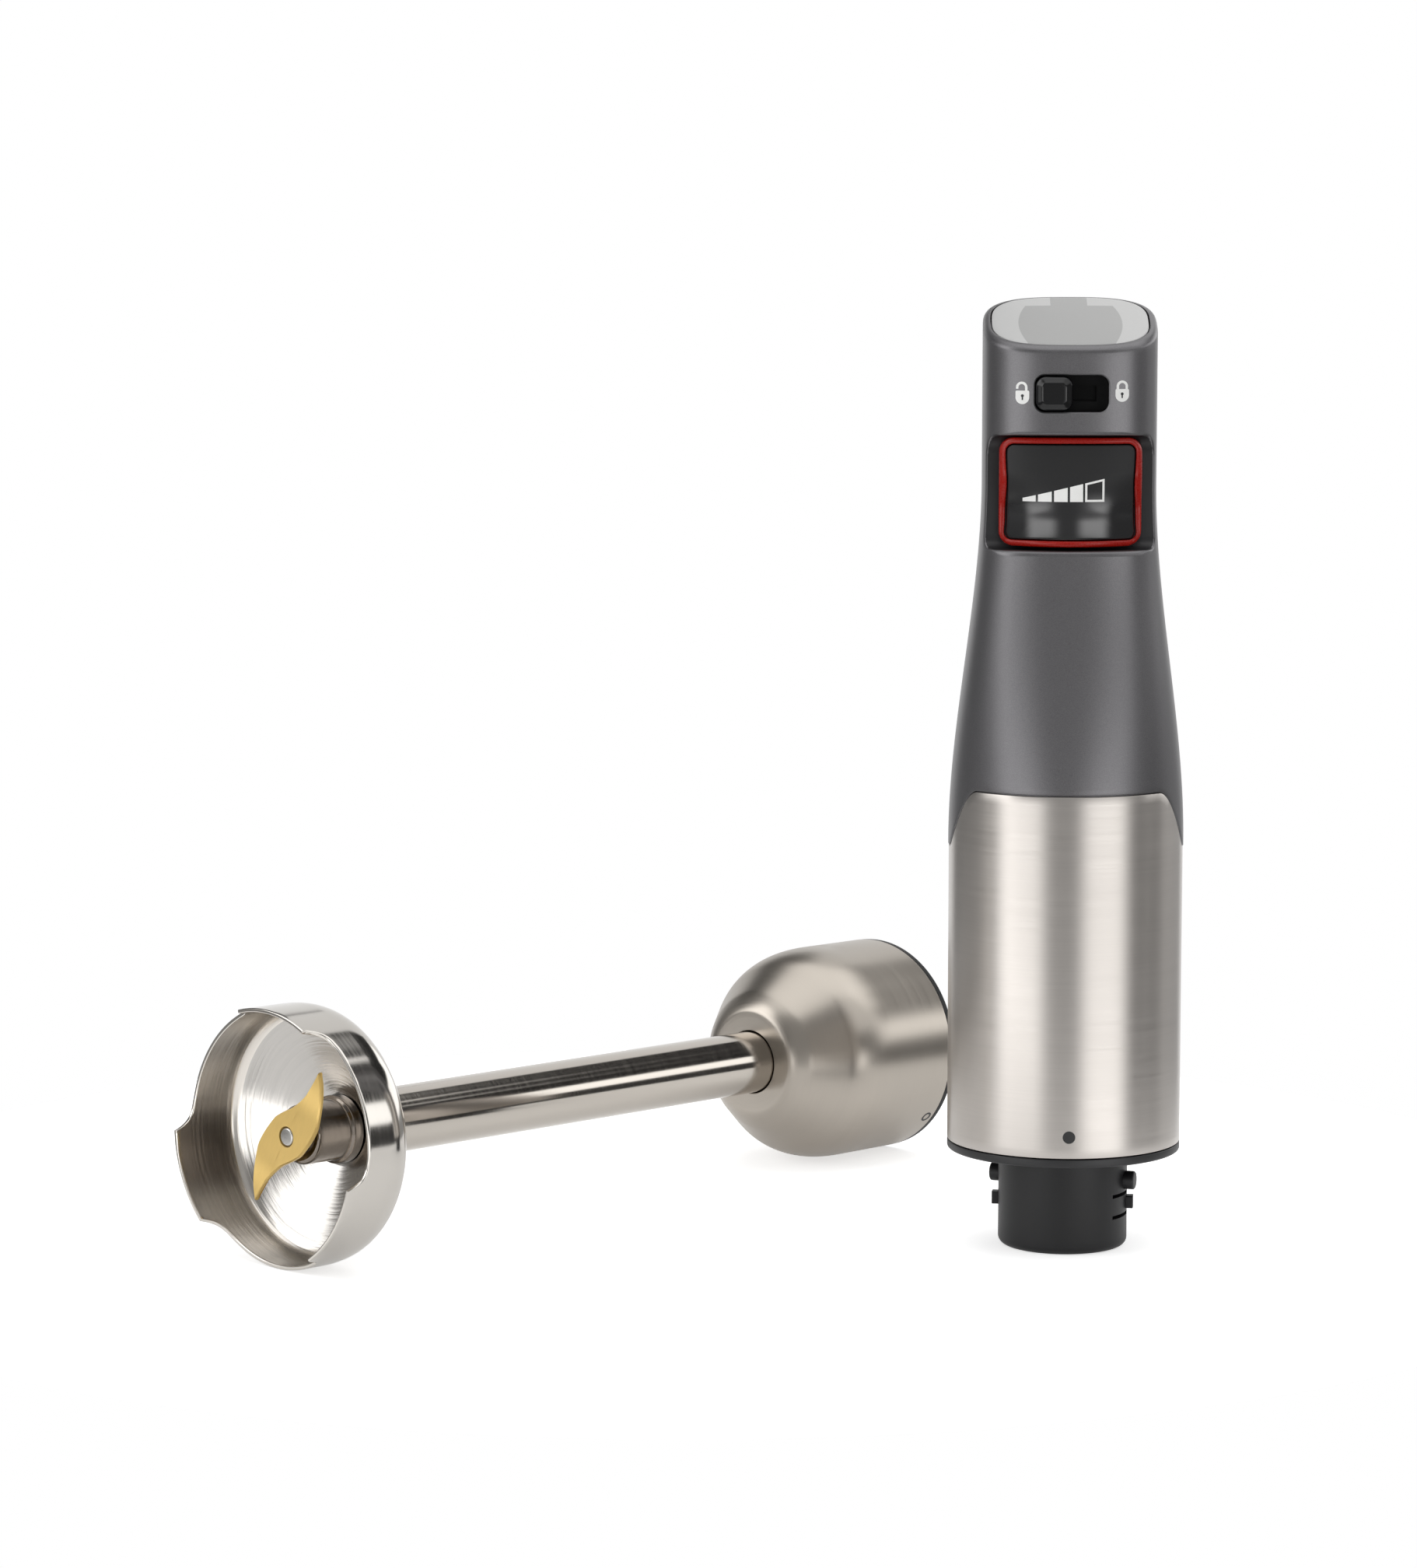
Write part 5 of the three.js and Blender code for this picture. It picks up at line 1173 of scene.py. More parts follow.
collar = {
    "radius": 16.1,
    "bore": 12.6,
    "foot": 2.0,
    "flange": (23.8, 26.9, 29.4),
    "bossAngle": 74,
    "bossHeight": 17.0,
    "bossOut": 18.6,
    "catchAngle": 83,
    "catchOut": 17.7,
    "tongue": (41, 7, 3),
    "slit": 0.9,
    "catchHeight": 11.1,
    "tongueHalf": 2.2,
}


def arcTool(fromAngle, toAngle, low, high):
    # ring sector that cuts right through the collar's wall
    a = np.radians(np.linspace(fromAngle, toAngle, 25))
    sides = (collar["bore"] - 1, collar["radius"] + 4)
    ring = [np.column_stack([r * np.sin(a), -r * np.cos(a)]) for r in sides]
    return extruded(np.vstack([ring[0], ring[1][::-1]]), low, high)


def couplingCollar():
    # stepped tube turned round the axis, bosses and catches at their angles, slits round the tongues
    radius, bore = collar["radius"], collar["bore"]
    flange, low, high = collar["flange"]
    profile = [(bore, 0), (radius, 0), (radius, low), (flange, low), (flange, high), (bore, high)]
    profile = dense(rounded(profile, [0.5, collar["foot"], 0, 0, 0, 0], 8), 1.5)
    piece = meshFrom("collar_ring", [turned(profile, 144)], onUnit, [finishes["collar"]])
    joined, cuts = [], []
    for turn in (0, 180):
        out = collar["bossOut"]
        boss = rounded([(0, bore + 1), (2.3, bore + 1), (2.3, out), (0, out)], [0, 0, 0.5, 0], 4)
        lying = moved(turned(boss, 40), lambda points: points[:, [2, 1, 0]] + [0, 0, collar["bossHeight"]])
        joined.append(moved(lying, lambda points: turnedAway(points, collar["bossAngle"] + turn)))
        outline = roundedOutline(1.6, 1.6, 0.4, (0, collar["catchHeight"]), line=2, turn=4)
        catch = extruded(outline, bore + 1, collar["catchOut"], "x")
        joined.append(moved(catch, lambda points: turnedAway(points, collar["catchAngle"] + turn)))
        span, past, gapWide = collar["tongue"]
        end = collar["catchAngle"] + turn + past
        low = collar["catchHeight"] - collar["tongueHalf"]
        high = collar["catchHeight"] + collar["tongueHalf"]
        cuts.append(arcTool(end - span, end, high, high + collar["slit"]))
        cuts.append(arcTool(end - span, end, low - collar["slit"], low))
        cuts.append(arcTool(end - gapWide, end, low - collar["slit"], high + collar["slit"]))
    carved(piece, joined, onUnit, "UNION")
    return carved(piece, cuts, onUnit)


def collarScrews():
    # turned profile at each screw's place, with a cross cut into its head
    low, top = base["bottom"] + 0.1, base["screwTop"]
    profile = [(0, low), (2.6, low), (2.6, low + 0.95), (1.3, low + 0.95), (1.3, top), (0, top)]
    profile = dense(rounded(profile, [0, 0.35, 0.1, 0, 0.2, 0], 4), 1.5, closed=False)
    for i, angle in enumerate(base["screwAngles"]):
        a = math.radians(angle)
        spot = np.array([base["screwCircle"] * math.cos(a), base["screwCircle"] * math.sin(a), 0])
        screw = moved(turned(profile, 40, closed=False), lambda points: points + spot)
        piece = meshFrom(f"base_screw_{i + 1}", [screw], onUnit, [finishes["steel"]])
        cross = [blockOf(spot + [-p, -q, low - 1], spot + [p, q, low + 0.6]) for p, q in base["cross"]]
        settled(carved(piece, cross, onUnit), "motor_unit", [f"collar_screw_{i + 1}"])


def cordGland():
    # rubber inlet with a rolled lip
    out = inlet["out"]
    profile = [(3.5, out - 7.4), (5.4, out - 7.4), (5.4, out + 0.3), (6.8, out + 0.3), (6.6, out + 1.6),
               (4.7, out + 2.2), (3.5, out + 2.2)]
    profile = dense(rounded(profile, [0, 0, 0, 0.5, 0.7, 0.6, 0.4], 5), 1.0)
    made = moved(turned(profile, 72), lambda points: swapped(points, "y") + [0, 0, inlet["height"]])
    return meshFrom("cord_inlet", [made], onUnit, [finishes["rubber"]])


print("sleeve, base and collar ...")
settled(steelSleeve(), "motor_unit", ["steel_sleeve"])
settled(baseRing(), "motor_unit", ["base_ring"])
settled(couplingCollar(), "motor_unit", ["coupling_collar"])
collarScrews()
settled(cordGland(), "motor_unit", ["cord_gland"])


# marks: thin closed shells printed on a surface, given by its depth over x and z
def printed(name, sheets, surface, finish, body, slotName, lift=0.04):
    # each sheet is a grid of (x, z); its front stands proud by lift, its back is sunk a little
    made = []
    for grid, closeCols in sheets:
        x, z = grid[..., 0], grid[..., 1]
        faces = [rows(x, surface(x, z) - lift, z), rows(x, surface(x, z) + 0.03, z)[::-1]]
        made.append(sheet(np.concatenate(faces), closeRows=True, closeCols=closeCols))
    return settled(meshFrom(name, made, onUnit, [finish]), body)


def disc(outline, rings=5):
    # outline drawn in to its middle
    middle = outline.mean(0)
    scale = np.linspace(0, 1, rings)[:, None, None]
    return mix(middle, outline[None], scale), True


def strip(middleLine, width, closed=False):
    # flat band along a line: each point pushed to both sides along the line's normal
    ahead = np.gradient(middleLine, axis=0)
    if closed:
        ahead = np.roll(middleLine, -1, 0) - np.roll(middleLine, 1, 0)
    normal = np.column_stack([-ahead[:, 1], ahead[:, 0]])
    normal /= np.linalg.norm(normal, axis=1)[:, None]
    sides = np.linspace(-width / 2, width / 2, 3)[:, None, None]
    return middleLine[None] + normal[None] * sides, closed


def quadPatch(corners, across=8, up=6):
    # four corners (lower left, lower right, upper right, upper left) filled with a grid
    a, b, c, d = (np.array(p, float) for p in corners)
    s, t = np.linspace(0, 1, across + 1)[None, :, None], np.linspace(0, 1, up + 1)[:, None, None]
    return mix(mix(a, b, s), mix(d, c, s), t), False


def patchShell(name, patches, surface, finish, body, slotName, lift=0.04):
    # patches with four sides: front, back and the four edges between them
    made = []
    for points, _ in patches:
        x, z = points[..., 0], points[..., 1]
        outside = rows(x, surface(x, z) - lift, z)
        inside = rows(x, surface(x, z) + 0.03, z)
        made += [sheet(outside), sheet(inside)]
        for edge in ((slice(None), 0), (slice(None), -1), (0, slice(None)), (-1, slice(None))):
            made.append(sheet(np.stack([outside[edge], inside[edge]])))
    return settled(meshFrom(name, made, onUnit, [finish]), body)


marks = {
    "dot": (0.6, 32.2, 1.54),
    "ramp": ((-11.66, -8.52), (-7.96, -4.67), (-4.1, -0.81), (-0.25, 2.91)),
    "rampBox": (3.42, 8.1),
    "rampBase": 186.94,
    "rampLow": 187.75,
    "rampTop": 192.52,
    "leftLock": (-11.95, 210.54, 215.97),
    "rightLock": (12.15, 211.12, 216.27),
    "lockWide": 3.3,
}


def sleeveDepth(x, z):
    # front of the sleeve's circle over x
    return -np.sqrt(sleeve["radius"] ** 2 - x * x)


def speedRamp():
    # rising bars and a box frame; the ramp's upper edge is one straight line over the bars
    bars = marks["ramp"]
    left, right = bars[0][0], marks["rampBox"][1]
    base0, low, top = marks["rampBase"], marks["rampLow"], marks["rampTop"]

    def height(x):
        return mix(low, top, (x - left) / (right - left))

    patches = [quadPatch([(a, base0), (b, base0), (b, height(b)), (a, height(a))]) for a, b in bars]
    a, b = marks["rampBox"]
    thick = 0.5
    p, q = a + thick, b - thick
    patches += [quadPatch([(a, base0), (b, base0), (q, base0 + thick), (p, base0 + thick)])]
    patches += [quadPatch([(p, height(p) - thick), (q, height(q) - thick), (b, height(b)), (a, height(a))])]
    patches += [quadPatch([(a, base0), (p, base0 + thick), (p, height(p) - thick), (a, height(a))])]
    patches += [quadPatch([(q, base0 + thick), (b, base0), (b, height(b)), (q, height(q) - thick)])]
    patchShell("speed_ramp", patches, triggerFace, finishes["white"], "trigger", "cap")


def padlock(name, spot, swing):
    # round-bottomed body with a keyhole, and a shackle that stands over it or is lifted out at one side
    x, low, high = spot
    half = marks["lockWide"] / 2
    top = low + (high - low) * 0.6
    a = np.radians(np.linspace(180, 360, 25))
    bowl = np.column_stack([x + half * np.cos(a), low + half + half * np.sin(a)])
    lid = [(x + half, top), (x - half, top), (x - half, low + half), (x + half, low + half)]
    lid = rounded(lid, [0.3, 0.3, 0, 0], 5)
    body = dense(np.vstack([bowl, lid[:-2]]), 0.3)
    flat = [lambda px, pz: frontDepth(px), finishes["white"], "motor_unit", "cap"]
    printed(name, [disc(body)], *flat)
    radius = half * 0.66
    arcTop = high - 0.3 - radius
    shift = -half * 0.1 if swing else 0.0
    a = np.radians(np.linspace(0, 180, 17))
    arc = np.column_stack([x + shift + radius * np.cos(a), arcTop + radius * np.sin(a)])
    left = arcTop - 0.35 if swing else top - 0.05
    line = np.vstack([(x + shift + radius, top - 0.05), arc, (x + shift - radius, left)])
    patchShell(name + "_shackle", [strip(dense(line, 0.3, closed=False), 0.6)], *flat)
    flat[1:] = [finishes["print"], "motor_unit", "black"]
    eye, stem = low + (top - low) * 0.62, low + (top - low) * 0.3
    printed(name + "_keyhole", [disc(circle(0.36, 20, (x, eye)))], *flat, 0.07)
    slit = [(x - 0.17, stem), (x + 0.17, stem), (x + 0.17, eye), (x - 0.17, eye)]
    patchShell(name + "_keyslit", [quadPatch(slit)], *flat, 0.07)


dotX, dotZ, dotRadius = marks["dot"]
dot = disc(circle(dotRadius, 48, (dotX, dotZ)), 8)
printed("sleeve_dot", [dot], sleeveDepth, finishes["print"], "motor_unit", "black")
speedRamp()
padlock("unlocked_mark", marks["leftLock"], True)
padlock("locked_mark", marks["rightLock"], False)
print("marks made")

cone = {
    "radius": 28.8,
    "start": 2.05,
    "shoulder": 24.0,
    "corner": 34.8,
    "slope": 0.75,
    "round": 5.6,
    "length": 51.8,
    "face": 15.4,
    "wall": 0.9,
    "bore": 8.5,
    "slantEnd": 3.6,
    "faceBlend": (0.2, 2.2),
    "mark": (-38.0, 4.8, 1.6, 0.6, 0.04),
}


def couplingCone():
    # straight, rounded over, slanted, then a flat face round the tube; the inside runs a wall behind it
    def outline(inset, steps):
        radius, length = cone["radius"] - inset, cone["length"] - inset
        first = 2 * cone["corner"] - cone["shoulder"] - cone["round"]
        last = cone["length"] - cone["slantEnd"]
        shoulder, corner = (radius, cone["shoulder"] - inset / 2), (radius, cone["corner"] - inset / 2)
        edge, flat = [(cone["face"] - blend - inset, length) for blend in cone["faceBlend"]]

        def slant(s):
            return cone["radius"] - cone["slope"] * (s - cone["corner"]) - inset

        return np.vstack([
            [(radius, cone["start"] + 0.15), shoulder],
            curve(shoulder, corner, (slant(first), first), steps)[1:],
            curve((slant(last), last), edge, flat, steps // 2),
            [(cone["bore"] + 0.2, length)],
        ])

    outer, inner = outline(0, 24), outline(cone["wall"], 12)
    mouth = [(cone["radius"] - cone["wall"] + 0.1, cone["start"]), (cone["radius"] - 0.15, cone["start"])]
    throat = [(cone["bore"], cone["length"] - 0.2)]
    profile = dense(np.vstack([mouth, outer, throat, inner[::-1]]), 1.2)
    return meshFrom("cone_shell", [turned(profile, 224)], onShaft, [finishes["cone"]])


def coneMark():
    # thin ring printed on the straight part: r = radius + lift, bent round the axis
    turn, height, outer, line, lift = cone["mark"]
    a = np.radians(np.arange(48) * 7.5)
    steps = [(outer - line, -0.03), (outer - line, lift), (outer - line / 2, lift)]
    steps += [(outer, lift), (outer, -0.03)]
    made = []
    for size, rise in steps:
        around, along = size * np.cos(a) / cone["radius"], height + size * np.sin(a)
        radius, angle = cone["radius"] + rise, math.radians(turn) + around
        made.append(rows(radius * np.cos(angle), radius * np.sin(angle), along))
    ring = sheet(np.stack(made), closeRows=True, closeCols=True)
    return meshFrom("cone_mark", [ring], onShaft, [finishes["print"]])


liner = {"bore": 16.7, "wall": 4.2, "depth": 26.0, "web": 3.0, "hub": 8.58, "eye": 4.5, "skirt": 27.6}


def coneLiner():
    # bayonet socket: black ring with grooves for the collar's bosses and catches
    bore, outer = liner["bore"], liner["bore"] + liner["wall"]
    depth, web = liner["depth"], liner["depth"] + liner["web"]
    foot, skirt, eye = liner["hub"], liner["skirt"], liner["eye"]
    profile = [
        (bore, 0), (28.25, 0), (28.7, 0.4), (28.75, 0.9), (28.75, 2.0), (skirt, 1.5), (skirt, 2.7),
        (outer, 2.7), (outer, depth - 2), (skirt - 0.6, depth - 2), (skirt - 0.6, web - 2),
        (foot + 3, web), (foot + 3, web + 10), (foot, web + 10), (foot, web), (eye, web), (eye, depth),
        (bore, depth)]
    profile = dense(rounded(profile, [0.5] + [0] * 17, 4), 2.0)
    piece = meshFrom("socket_liner", [turned(profile, 160)], onShaft, [finishes["liner"]])
    tools = []
    for turn in (0, 180):
        for angle, deep, half, end in ((turn, 18.6, 2.6, 10.1), (turn + 30, 17.7, 1.9, 16.6)):
            groove = blockOf((bore - 2, -half, -1), (deep + 0.6, half, end))
            tools.append(moved(groove, lambda points: turnedAway(points, angle)))
        a = np.radians(np.linspace(-90, -60, 13) + turn)
        sector = [np.column_stack([r * np.cos(a), r * np.sin(a)]) for r in (bore - 2, 19.2)]
        tools.append(extruded(np.vstack([sector[0], sector[1][::-1]]), 4.9, 10.1))
    return carved(piece, tools, onShaft)


tube = {"radius": 8.28, "wall": 1.0, "start": 29.3, "end": 199.0}


def shaftTube():
    # rounded rectangle turned round the shaft
    radius, wall, start, end = tube["radius"], tube["wall"], tube["start"], tube["end"]
    profile = [(radius - wall, start), (radius, start), (radius, end), (radius - wall, end)]
    profile = dense(rounded(profile, [0.2] * 4, 3), 3.0)
    return meshFrom("tube_wall", [turned(profile, 160)], onShaft, [finishes["tube"]])


bell = {
    "length": 227.6,
    "radius": 32.43,
    "wall": 1.0,
    "straight": 13.0,
    "corner": 19.8,
    "shoulder": (28.2, 21.2),
    "neck": (9.8, 28.4, 36.0),
    "ceiling": (18.3, 26.3),
    "lobe": (84.0, 21.3, 5.9, 3.2),
    "edge": 0.28,
    "seat": 8.58,
    "spigot": 5.5,
    "hub": 9.0,
}


def lobeAngles():
    # columns close together down the flanks, where the rim falls by (1 - exp(-turn / ease))
    middle, half, _, ease = bell["lobe"]
    onLobe = np.linspace(0, half, 15)
    flank = half - ease * np.log(1 - np.linspace(0, 0.985, 20)[1:])
    valley = np.linspace(flank[-1], 60, 14)[1:]
    side = np.concatenate([onLobe, flank, valley])
    third = np.concatenate([-side[::-1][:-1], side])[:-1]
    return np.radians(np.concatenate([middle + 120 * k + third for k in range(3)]))


def rimNotch(angle):
    # how far the rim lies back: 0 on a lobe, then depth (1 - exp(-turn / ease)) past its half width
    middle, half, depth, ease = bell["lobe"]
    away = np.abs((np.degrees(angle) - middle + 60) % 120 - 60)
    return depth * (1 - np.exp(-np.maximum(0, away - half) / ease))


def bellGuard():
    # closed section carried round; its rim steps back between the three lobes
    angle = lobeAngles()
    rim = bell["length"] - rimNotch(angle)
    length, radius, wall, edge = bell["length"], bell["radius"], bell["wall"], bell["edge"]
    neck, neckFront, neckBack = bell["neck"]
    shoulder, shoulderBack = bell["shoulder"]
    ceilingWall, ceilingHub = bell["ceiling"]
    straight, corner = (radius, length - bell["straight"]), (radius, length - bell["corner"])
    front, back = length - neckFront, length - neckBack
    seat, spigot, inner = bell["seat"], bell["spigot"], radius - wall
    outside = np.vstack([
        [straight],
        curve(straight, corner, (shoulder, length - shoulderBack), 16)[1:],
        curve((neck + 3, front + 1.1), (neck, front), (neck, front - 2), 10),
        [(neck, back + 0.5), (neck - 0.15, back + 0.15), (neck - 0.5, back)],
        [(seat, back), (seat, tube["end"] + 0.3), (spigot, tube["end"] + 0.3)],
    ])
    inside = np.vstack([
        [(spigot, length - ceilingHub), (bell["hub"], length - ceilingHub)],
        curve((inner - 3, length - ceilingWall - 0.98), (inner, length - ceilingWall),
              (inner, length - ceilingWall + 3), 8),
    ])
    outside, inside = dense(outside, 1.0, closed=False), dense(inside, 1.0, closed=False)

    def ring(r, s):
        return rows(r * np.cos(angle), r * np.sin(angle), s)

    made = [ring(r, s + 0 * angle) for r, s in outside]
    made += [ring(r, s + 0 * angle) for r, s in inside]
    insideStart, ceilingEnd = len(outside), len(made) - 8  # the last 8 rows round into the wall
    wallIn, wallOut = inside[-1][1], outside[0][1]
    made += [ring(radius - wall, mix(wallIn, rim - edge, t)) for t in np.linspace(0, 1, 14)[1:]]
    made += [ring(inner + edge * (1 - math.cos(a)), rim - edge * (1 - math.sin(a)))
             for a in np.radians([30, 60, 90])]
    insideEnd = len(made)
    made += [ring(radius - edge * (1 - math.cos(a)), rim - edge * (1 - math.sin(a)))
             for a in np.radians([90, 60, 30, 0])]
    made += [ring(radius, mix(rim - edge, wallOut, t)) for t in np.linspace(0, 1, 16)[1:-1]]
    row = np.arange(len(made))
    finish = np.where((row >= insideStart) & (row < insideEnd), 1, 0)
    # the ceiling rows take the darker copy of the inside steel, painted shade
    finish[insideStart:ceilingEnd] = 2
    grid = sheet(np.stack(made), closeRows=True, closeCols=True, finish=np.repeat(finish, len(angle)))
    steels = [finishes[name] for name in ("bell", "bellInside", "bellCeiling")]
    return meshFrom("bell_shell", [grid], onShaft, steels)


hub = {"front": 12.2, "radius": 7.4, "base": 8.5, "spigot": (5.2, 16.0), "bore": 4.7, "bush": 9.0}


def bellHub():
    # turned boss in the ceiling, with two steps at its foot and a soft front edge
    length = bell["length"]
    face, foot = length - hub["front"], length - bell["ceiling"][1] + 0.3
    spigot, spigotLength = hub["spigot"]
    bushBack = face - hub["bush"] - 4
    profile = [
        (hub["bore"], face), (hub["radius"], face), (hub["radius"] + 0.15, foot + 3.2),
        (hub["base"], foot + 2.6), (hub["base"], foot), (spigot, foot), (spigot, foot - spigotLength),
        (3.5, foot - spigotLength), (3.5, bushBack), (hub["bore"], bushBack)]
    profile = dense(rounded(profile, [0.3, 1.1, 0.6, 0.4, 0, 0, 0, 0, 0, 0], 6), 1.0)
    return meshFrom("hub_boss", [turned(profile, 128)], onShaft, [finishes["hub"]])


rod = {"start": 16.0, "radius": 2.5, "shoulder": 4.2, "stub": 2.3, "bladeFront": 8.2, "bladeThickness": 1.4}


def driveRod():
    # stepped profile turned round the shaft: the rod, a shoulder under the blade, a stub through it
    length = bell["length"]
    bladeBack = length - rod["bladeFront"] - rod["bladeThickness"]
    face = length - hub["front"] + 0.3
    end = length - rod["bladeFront"]
    radius, shoulder, stub = rod["radius"], rod["shoulder"], rod["stub"]
    profile = [(0, rod["start"]), (radius, rod["start"]), (radius, face), (shoulder, face),
               (shoulder, bladeBack - 0.15), (stub, bladeBack - 0.15), (stub, end), (0, end)]
    profile = dense(rounded(profile, [0, 0.3, 0, 0.2, 0.3, 0, 0.5, 0], 5), 4.0, closed=False)
    return meshFrom("rod_bar", [turned(profile, 64, closed=False)], onShaft, [finishes["steel"]])


blade = {"hole": 2.6, "bend": 1.4, "bendStart": 8.0, "bendRun": 11.0, "edge": 0.28, "turn": (0.45, 0.9)}


def bladeOutline():
    # one arm: the cutting edge swells out to the tip, the back edge follows inside; the other mirrors it
    arm = np.vstack([
        curve((4.4, -4.5), (9.4, 0.2), (10.7, 3.5), 16)[:-1],
        cubic((10.7, 3.5), (11.6, 7), (11.6, 11.5), (10, 16.9), 26)[:-1],
        cubic((10, 16.9), (8.2, 13.2), (5.6, 9.2), (1, 7.1), 24)[:-1],
        curve((1, 7.1), (-2, 5.9), (-4.4, 4.5), 12)[:-1],
    ])
    return np.vstack([arm, -arm])


def bladePlate():
    # outline drawn in to the hole, both faces and the ground edges, then bent along its length
    outline = bladeOutline()
    ahead = np.roll(outline, -1, 0) - np.roll(outline, 1, 0)
    inward = np.column_stack([-ahead[:, 1], ahead[:, 0]]) / np.linalg.norm(ahead, axis=1)[:, None]
    drawn = outline + inward * blade["edge"]
    around = np.arctan2(drawn[:, 1], drawn[:, 0])
    hole = blade["hole"] * np.column_stack([np.cos(around), np.sin(around)])
    back = bell["length"] - rod["bladeFront"] - rod["bladeThickness"]
    front = back + rod["bladeThickness"]
    levels = [(outline, back + blade["edge"]), (outline, front - blade["edge"] * 1.6)]
    levels += [(mix(drawn, hole, t), front) for t in np.linspace(0, 1, 14)]
    levels += [(mix(hole, drawn, t), back) for t in np.linspace(0, 1, 14)]
    made = np.stack([np.column_stack([p, np.full(len(p), s)]) for p, s in levels])
    along = made[..., 1] * blade["turn"][1] + made[..., 0] * blade["turn"][0]
    bend = blade["bend"] * smooth((np.abs(along) - blade["bendStart"]) / blade["bendRun"]) * np.sign(along)
    made[..., 2] -= bend
    plate = sheet(made, closeRows=True, closeCols=True)
    return meshFrom("blade_plate", [plate], onShaft, [finishes["gold"]])


print("shaft ...")
settled(couplingCone(), "blending_shaft", ["coupling_cone"])
settled(coneMark(), "blending_shaft")
settled(coneLiner(), "blending_shaft", ["cone_liner"])
settled(shaftTube(), "blending_shaft", ["shaft_tube"])
settled(bellGuard(), "blending_shaft", ["bell_guard"], crease=40)
settled(bellHub(), "blending_shaft", ["bell_hub"])
settled(driveRod(), "blade_drive", ["drive_rod"])
settled(bladePlate(), "blade_drive", ["blade"])

# CAD nodes that keep their shape get the finish of what they are made of
nodeFinishes = {
    "steel": ["trigger_pin", "trigger_spring", "motor_shaft", "through_bolt_1", "through_bolt_2"],
    "frame": ["lower_bracket", "upper_bracket", "board_frame"],
    "bearing": ["lower_bearing", "upper_bearing"],
    "iron": ["stator_core", "armature_core"],
    "copper": ["field_coil_1", "field_coil_2", "armature_winding", "choke_coil", "commutator"],
    "brass": ["brush_holder_1", "brush_holder_2", "lower_bush", "upper_bush"],
    "carbon": ["carbon_brush_1", "carbon_brush_2"],
    "board": ["control_board"],
    "black": ["power_triac", "travel_sensor", "cooling_fan", "drive_coupling", "driven_coupling"],
    "white": ["noise_capacitor"],
    "rubber": ["shaft_seal"],
}
for finishName, names in nodeFinishes.items():
    for name in names:
        node = frame["nodes"][name]
        node.data.materials.clear()
        node.data.materials.append(finishes[finishName])
print("inner pieces finished")

# camera at the viewing angle, placed from the motor unit's foot
view = {"place": (-34.751, -1151.742, 246.796), "turn": 2.692, "tilt": 6.503, "lens": 106.88, "sensor": 36.0}
cameraData = bpy.data.cameras.new("camera")
cameraData.lens = view["lens"]
cameraData.sensor_width = view["sensor"]
cameraData.clip_end = 20
camera = bpy.data.objects.new("camera", cameraData)
camera.location = Vector(onUnit(np.array(view["place"])))
camera.rotation_euler = (math.radians(90 - view["tilt"]), 0, math.radians(view["turn"]))
bpy.context.scene.collection.objects.link(camera)
bpy.context.scene.camera = camera

# floor: a pale disc under the set, white to the eye except where the set shades it
floor = {"radius": 0.24, "pale": 0.8, "lift": 0.6, "glossyLift": 0.33}


def paleFloor():
    # polar grid at height zero
    points = [rows(r * np.cos(a), r * np.sin(a), 0 * a) for a in [np.radians(np.arange(96) * 3.75)]
              for r in np.linspace(0, floor["radius"], 6)]
    mesh = bpy.data.meshes.new("pale_floor")
    verts, groups, _ = sheet(np.stack(points), closeCols=True)
    mesh.from_pydata(verts.tolist(), [], groups[0].tolist())
    material = bpy.data.materials.new("pale_floor")
    material.use_nodes = True
    graph = Graph(material.node_tree)
    graph.nodes.clear()
    rays = graph.nodes.new("ShaderNodeLightPath")
    kinds = ("Is Camera Ray", "Is Glossy Ray", "Is Transmission Ray")
    seen = [Link(graph, rays.outputs[kind]) for kind in kinds]
    pale = graph.add("ShaderNodeBsdfDiffuse", None, {"Color": (floor["pale"],) * 3 + (1,)})
    looked = seen[0].math("MAXIMUM", seen[2])
    strength = (looked * floor["lift"]).math("MAXIMUM", seen[1] * floor["glossyLift"])
    glow = graph.add("ShaderNodeEmission", None, {"Strength": strength})
    lifted = graph.add("ShaderNodeAddShader", None, [pale, glow])
    graph.plug(graph.nodes.new("ShaderNodeOutputMaterial").inputs["Surface"], lifted)
    mesh.materials.append(material)
    piece = bpy.data.objects.new("pale_floor", mesh)
    bpy.context.scene.collection.objects.link(piece)


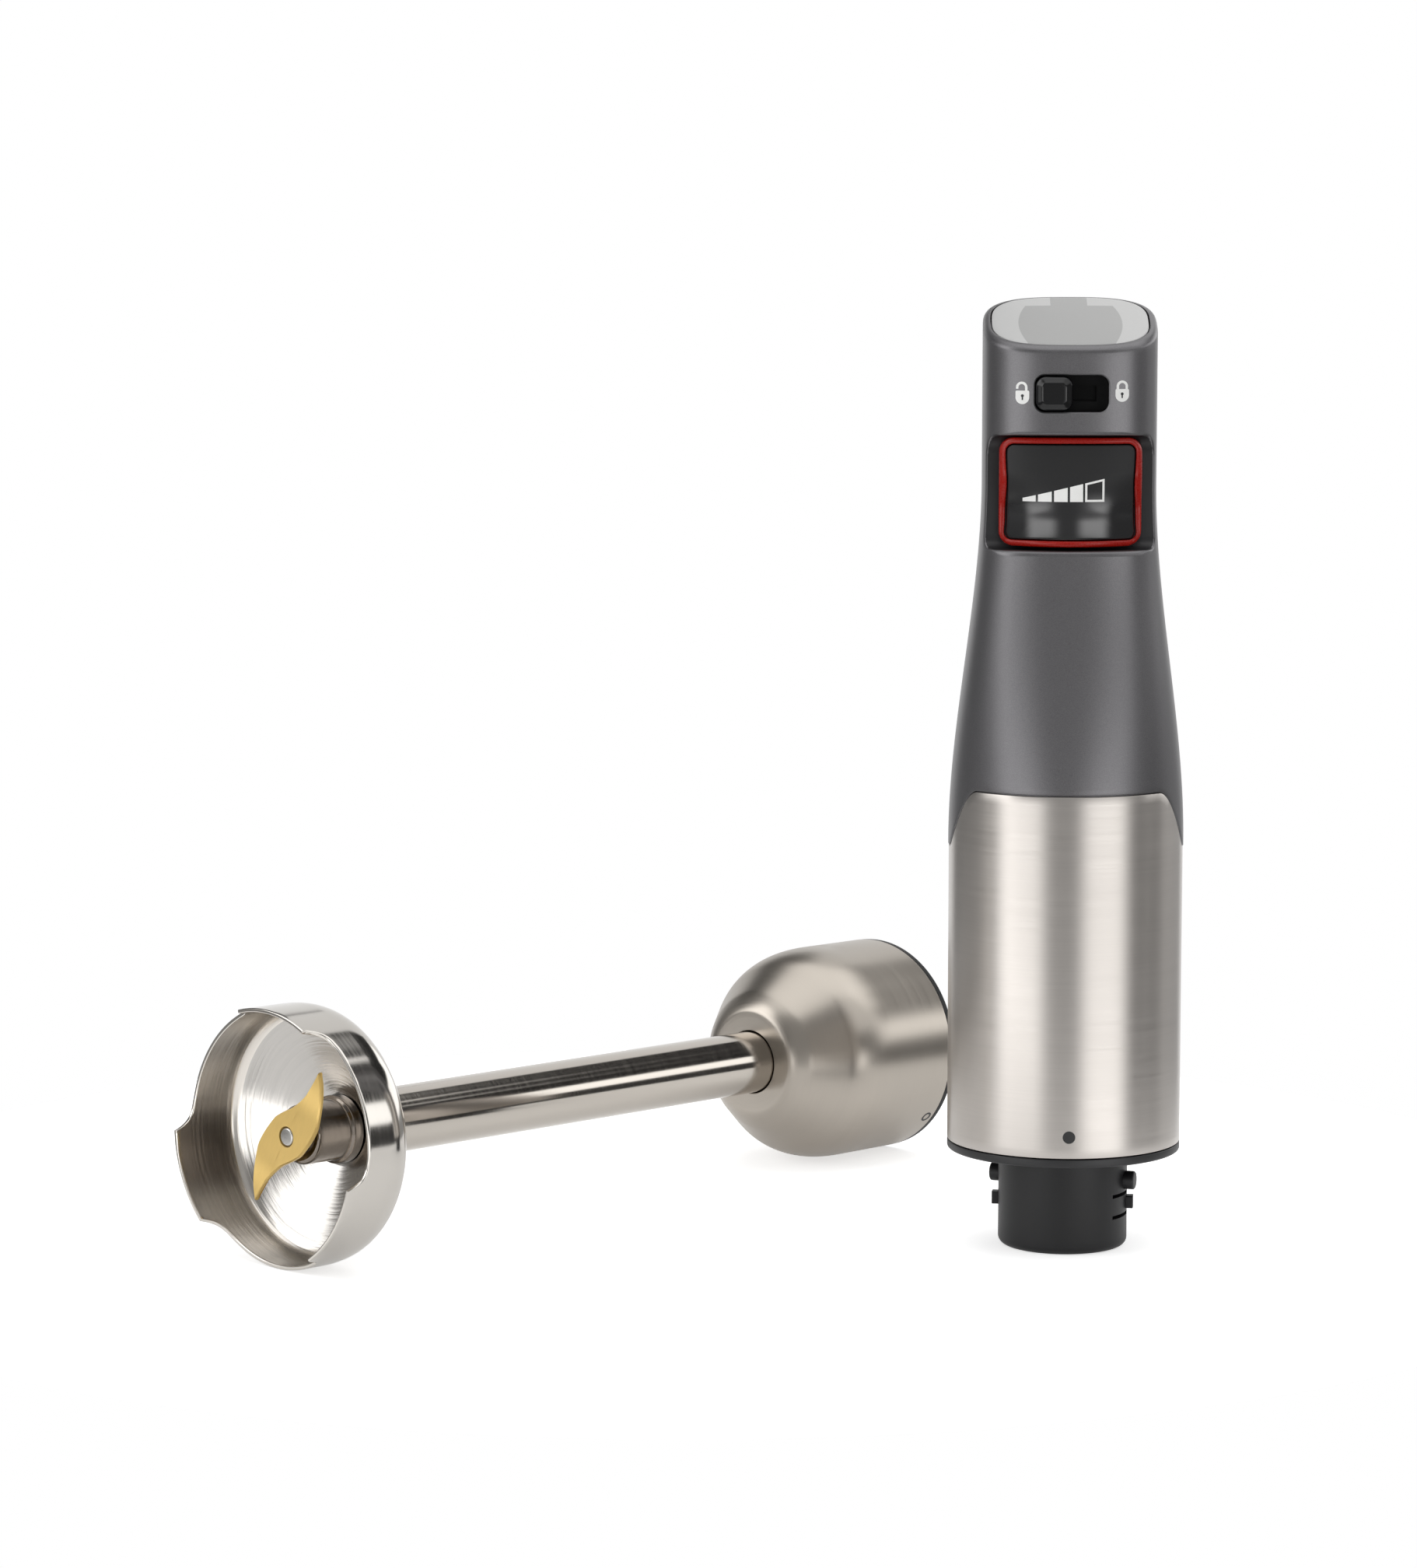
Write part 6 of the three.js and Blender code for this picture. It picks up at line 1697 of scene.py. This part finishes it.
# studio light by direction: turn is counted from the front towards the right, height from the horizon;
# each patch gives turn from, to and edge, height from, to and edge, and its level, laid over those before
studio = {
    "base": 0.22,
    "patches": {
        "front": (-14, 14, 20, -90, 50, 10, 0.4),
        "ceiling": (-200, 200, 1, 60, 100, 8, 1.65),
        "leftBackdrop": (-200, -150, 8, -100, 24, 5, 1.0),
        "rightBackdrop": (150, 200, 8, -100, 56, 8, 1.0),
        "leftBackShade": (-166, -100, 10, 30, 50, 8, 0.05),
        "rightBack": (106, 150, 8, -100, 8, 4, 0.38),
        "rightSide": (88, 150, 6, 7, 58, 5, 2.0),
        "rightLine": (90, 105, 4, -9, 6, 3, 0.05),
        "rightShade": (95, 116, 3, 23, 34, 3, 0.02),
        "rightShadeMiddle": (109, 134, 3, 24, 42, 3, 0.02),
        "rightShadeHigh": (124, 154, 3, 30, 47, 3, 0.03),
        "rightKey": (40, 76, 8, 28, 60, 8, 1.2),
        "leftKey": (-88, -62, 8, 12, 48, 6, 3.0),
        "leftBox": (-58, -33, 20, -14, 3, 4, 3.0),
        "rightBox": (26, 50, 20, -14, 3, 4, 3.1),
    },
}


def studioWorld():
    # level over direction: each patch is a soft box in turn and height, laid over those before
    world = bpy.data.worlds.new("studio")
    world.use_nodes = True
    bpy.context.scene.world = world
    graph = Graph(world.node_tree)
    graph.nodes.clear()
    x, y, z = graph.parts(graph.add("ShaderNodeTexCoord", None, [], output=0))
    degrees = 180 / math.pi
    turn = x.math("ARCTAN2", 0 - y) * degrees
    height = z.math("ARCSINE") * degrees
    level = height * 0 + studio["base"]
    for turnFrom, turnTo, turnEdge, low, high, heightEdge, strength in studio["patches"].values():
        patch = graph.band(turn, turnFrom, turnTo, turnEdge) * graph.band(height, low, high, heightEdge)
        level = level + patch * (strength - level)
    rays = graph.nodes.new("ShaderNodeLightPath")
    camera = Link(graph, rays.outputs["Is Camera Ray"])
    strength = camera + (1 - camera) * level
    background = graph.add("ShaderNodeBackground", None, {"Color": (1, 1, 1, 1), "Strength": strength})
    graph.plug(graph.nodes.new("ShaderNodeOutputWorld").inputs["Surface"], background)


paleFloor()
studioWorld()
bpy.context.scene.view_settings.view_transform = "Standard"
print("stage and light made")
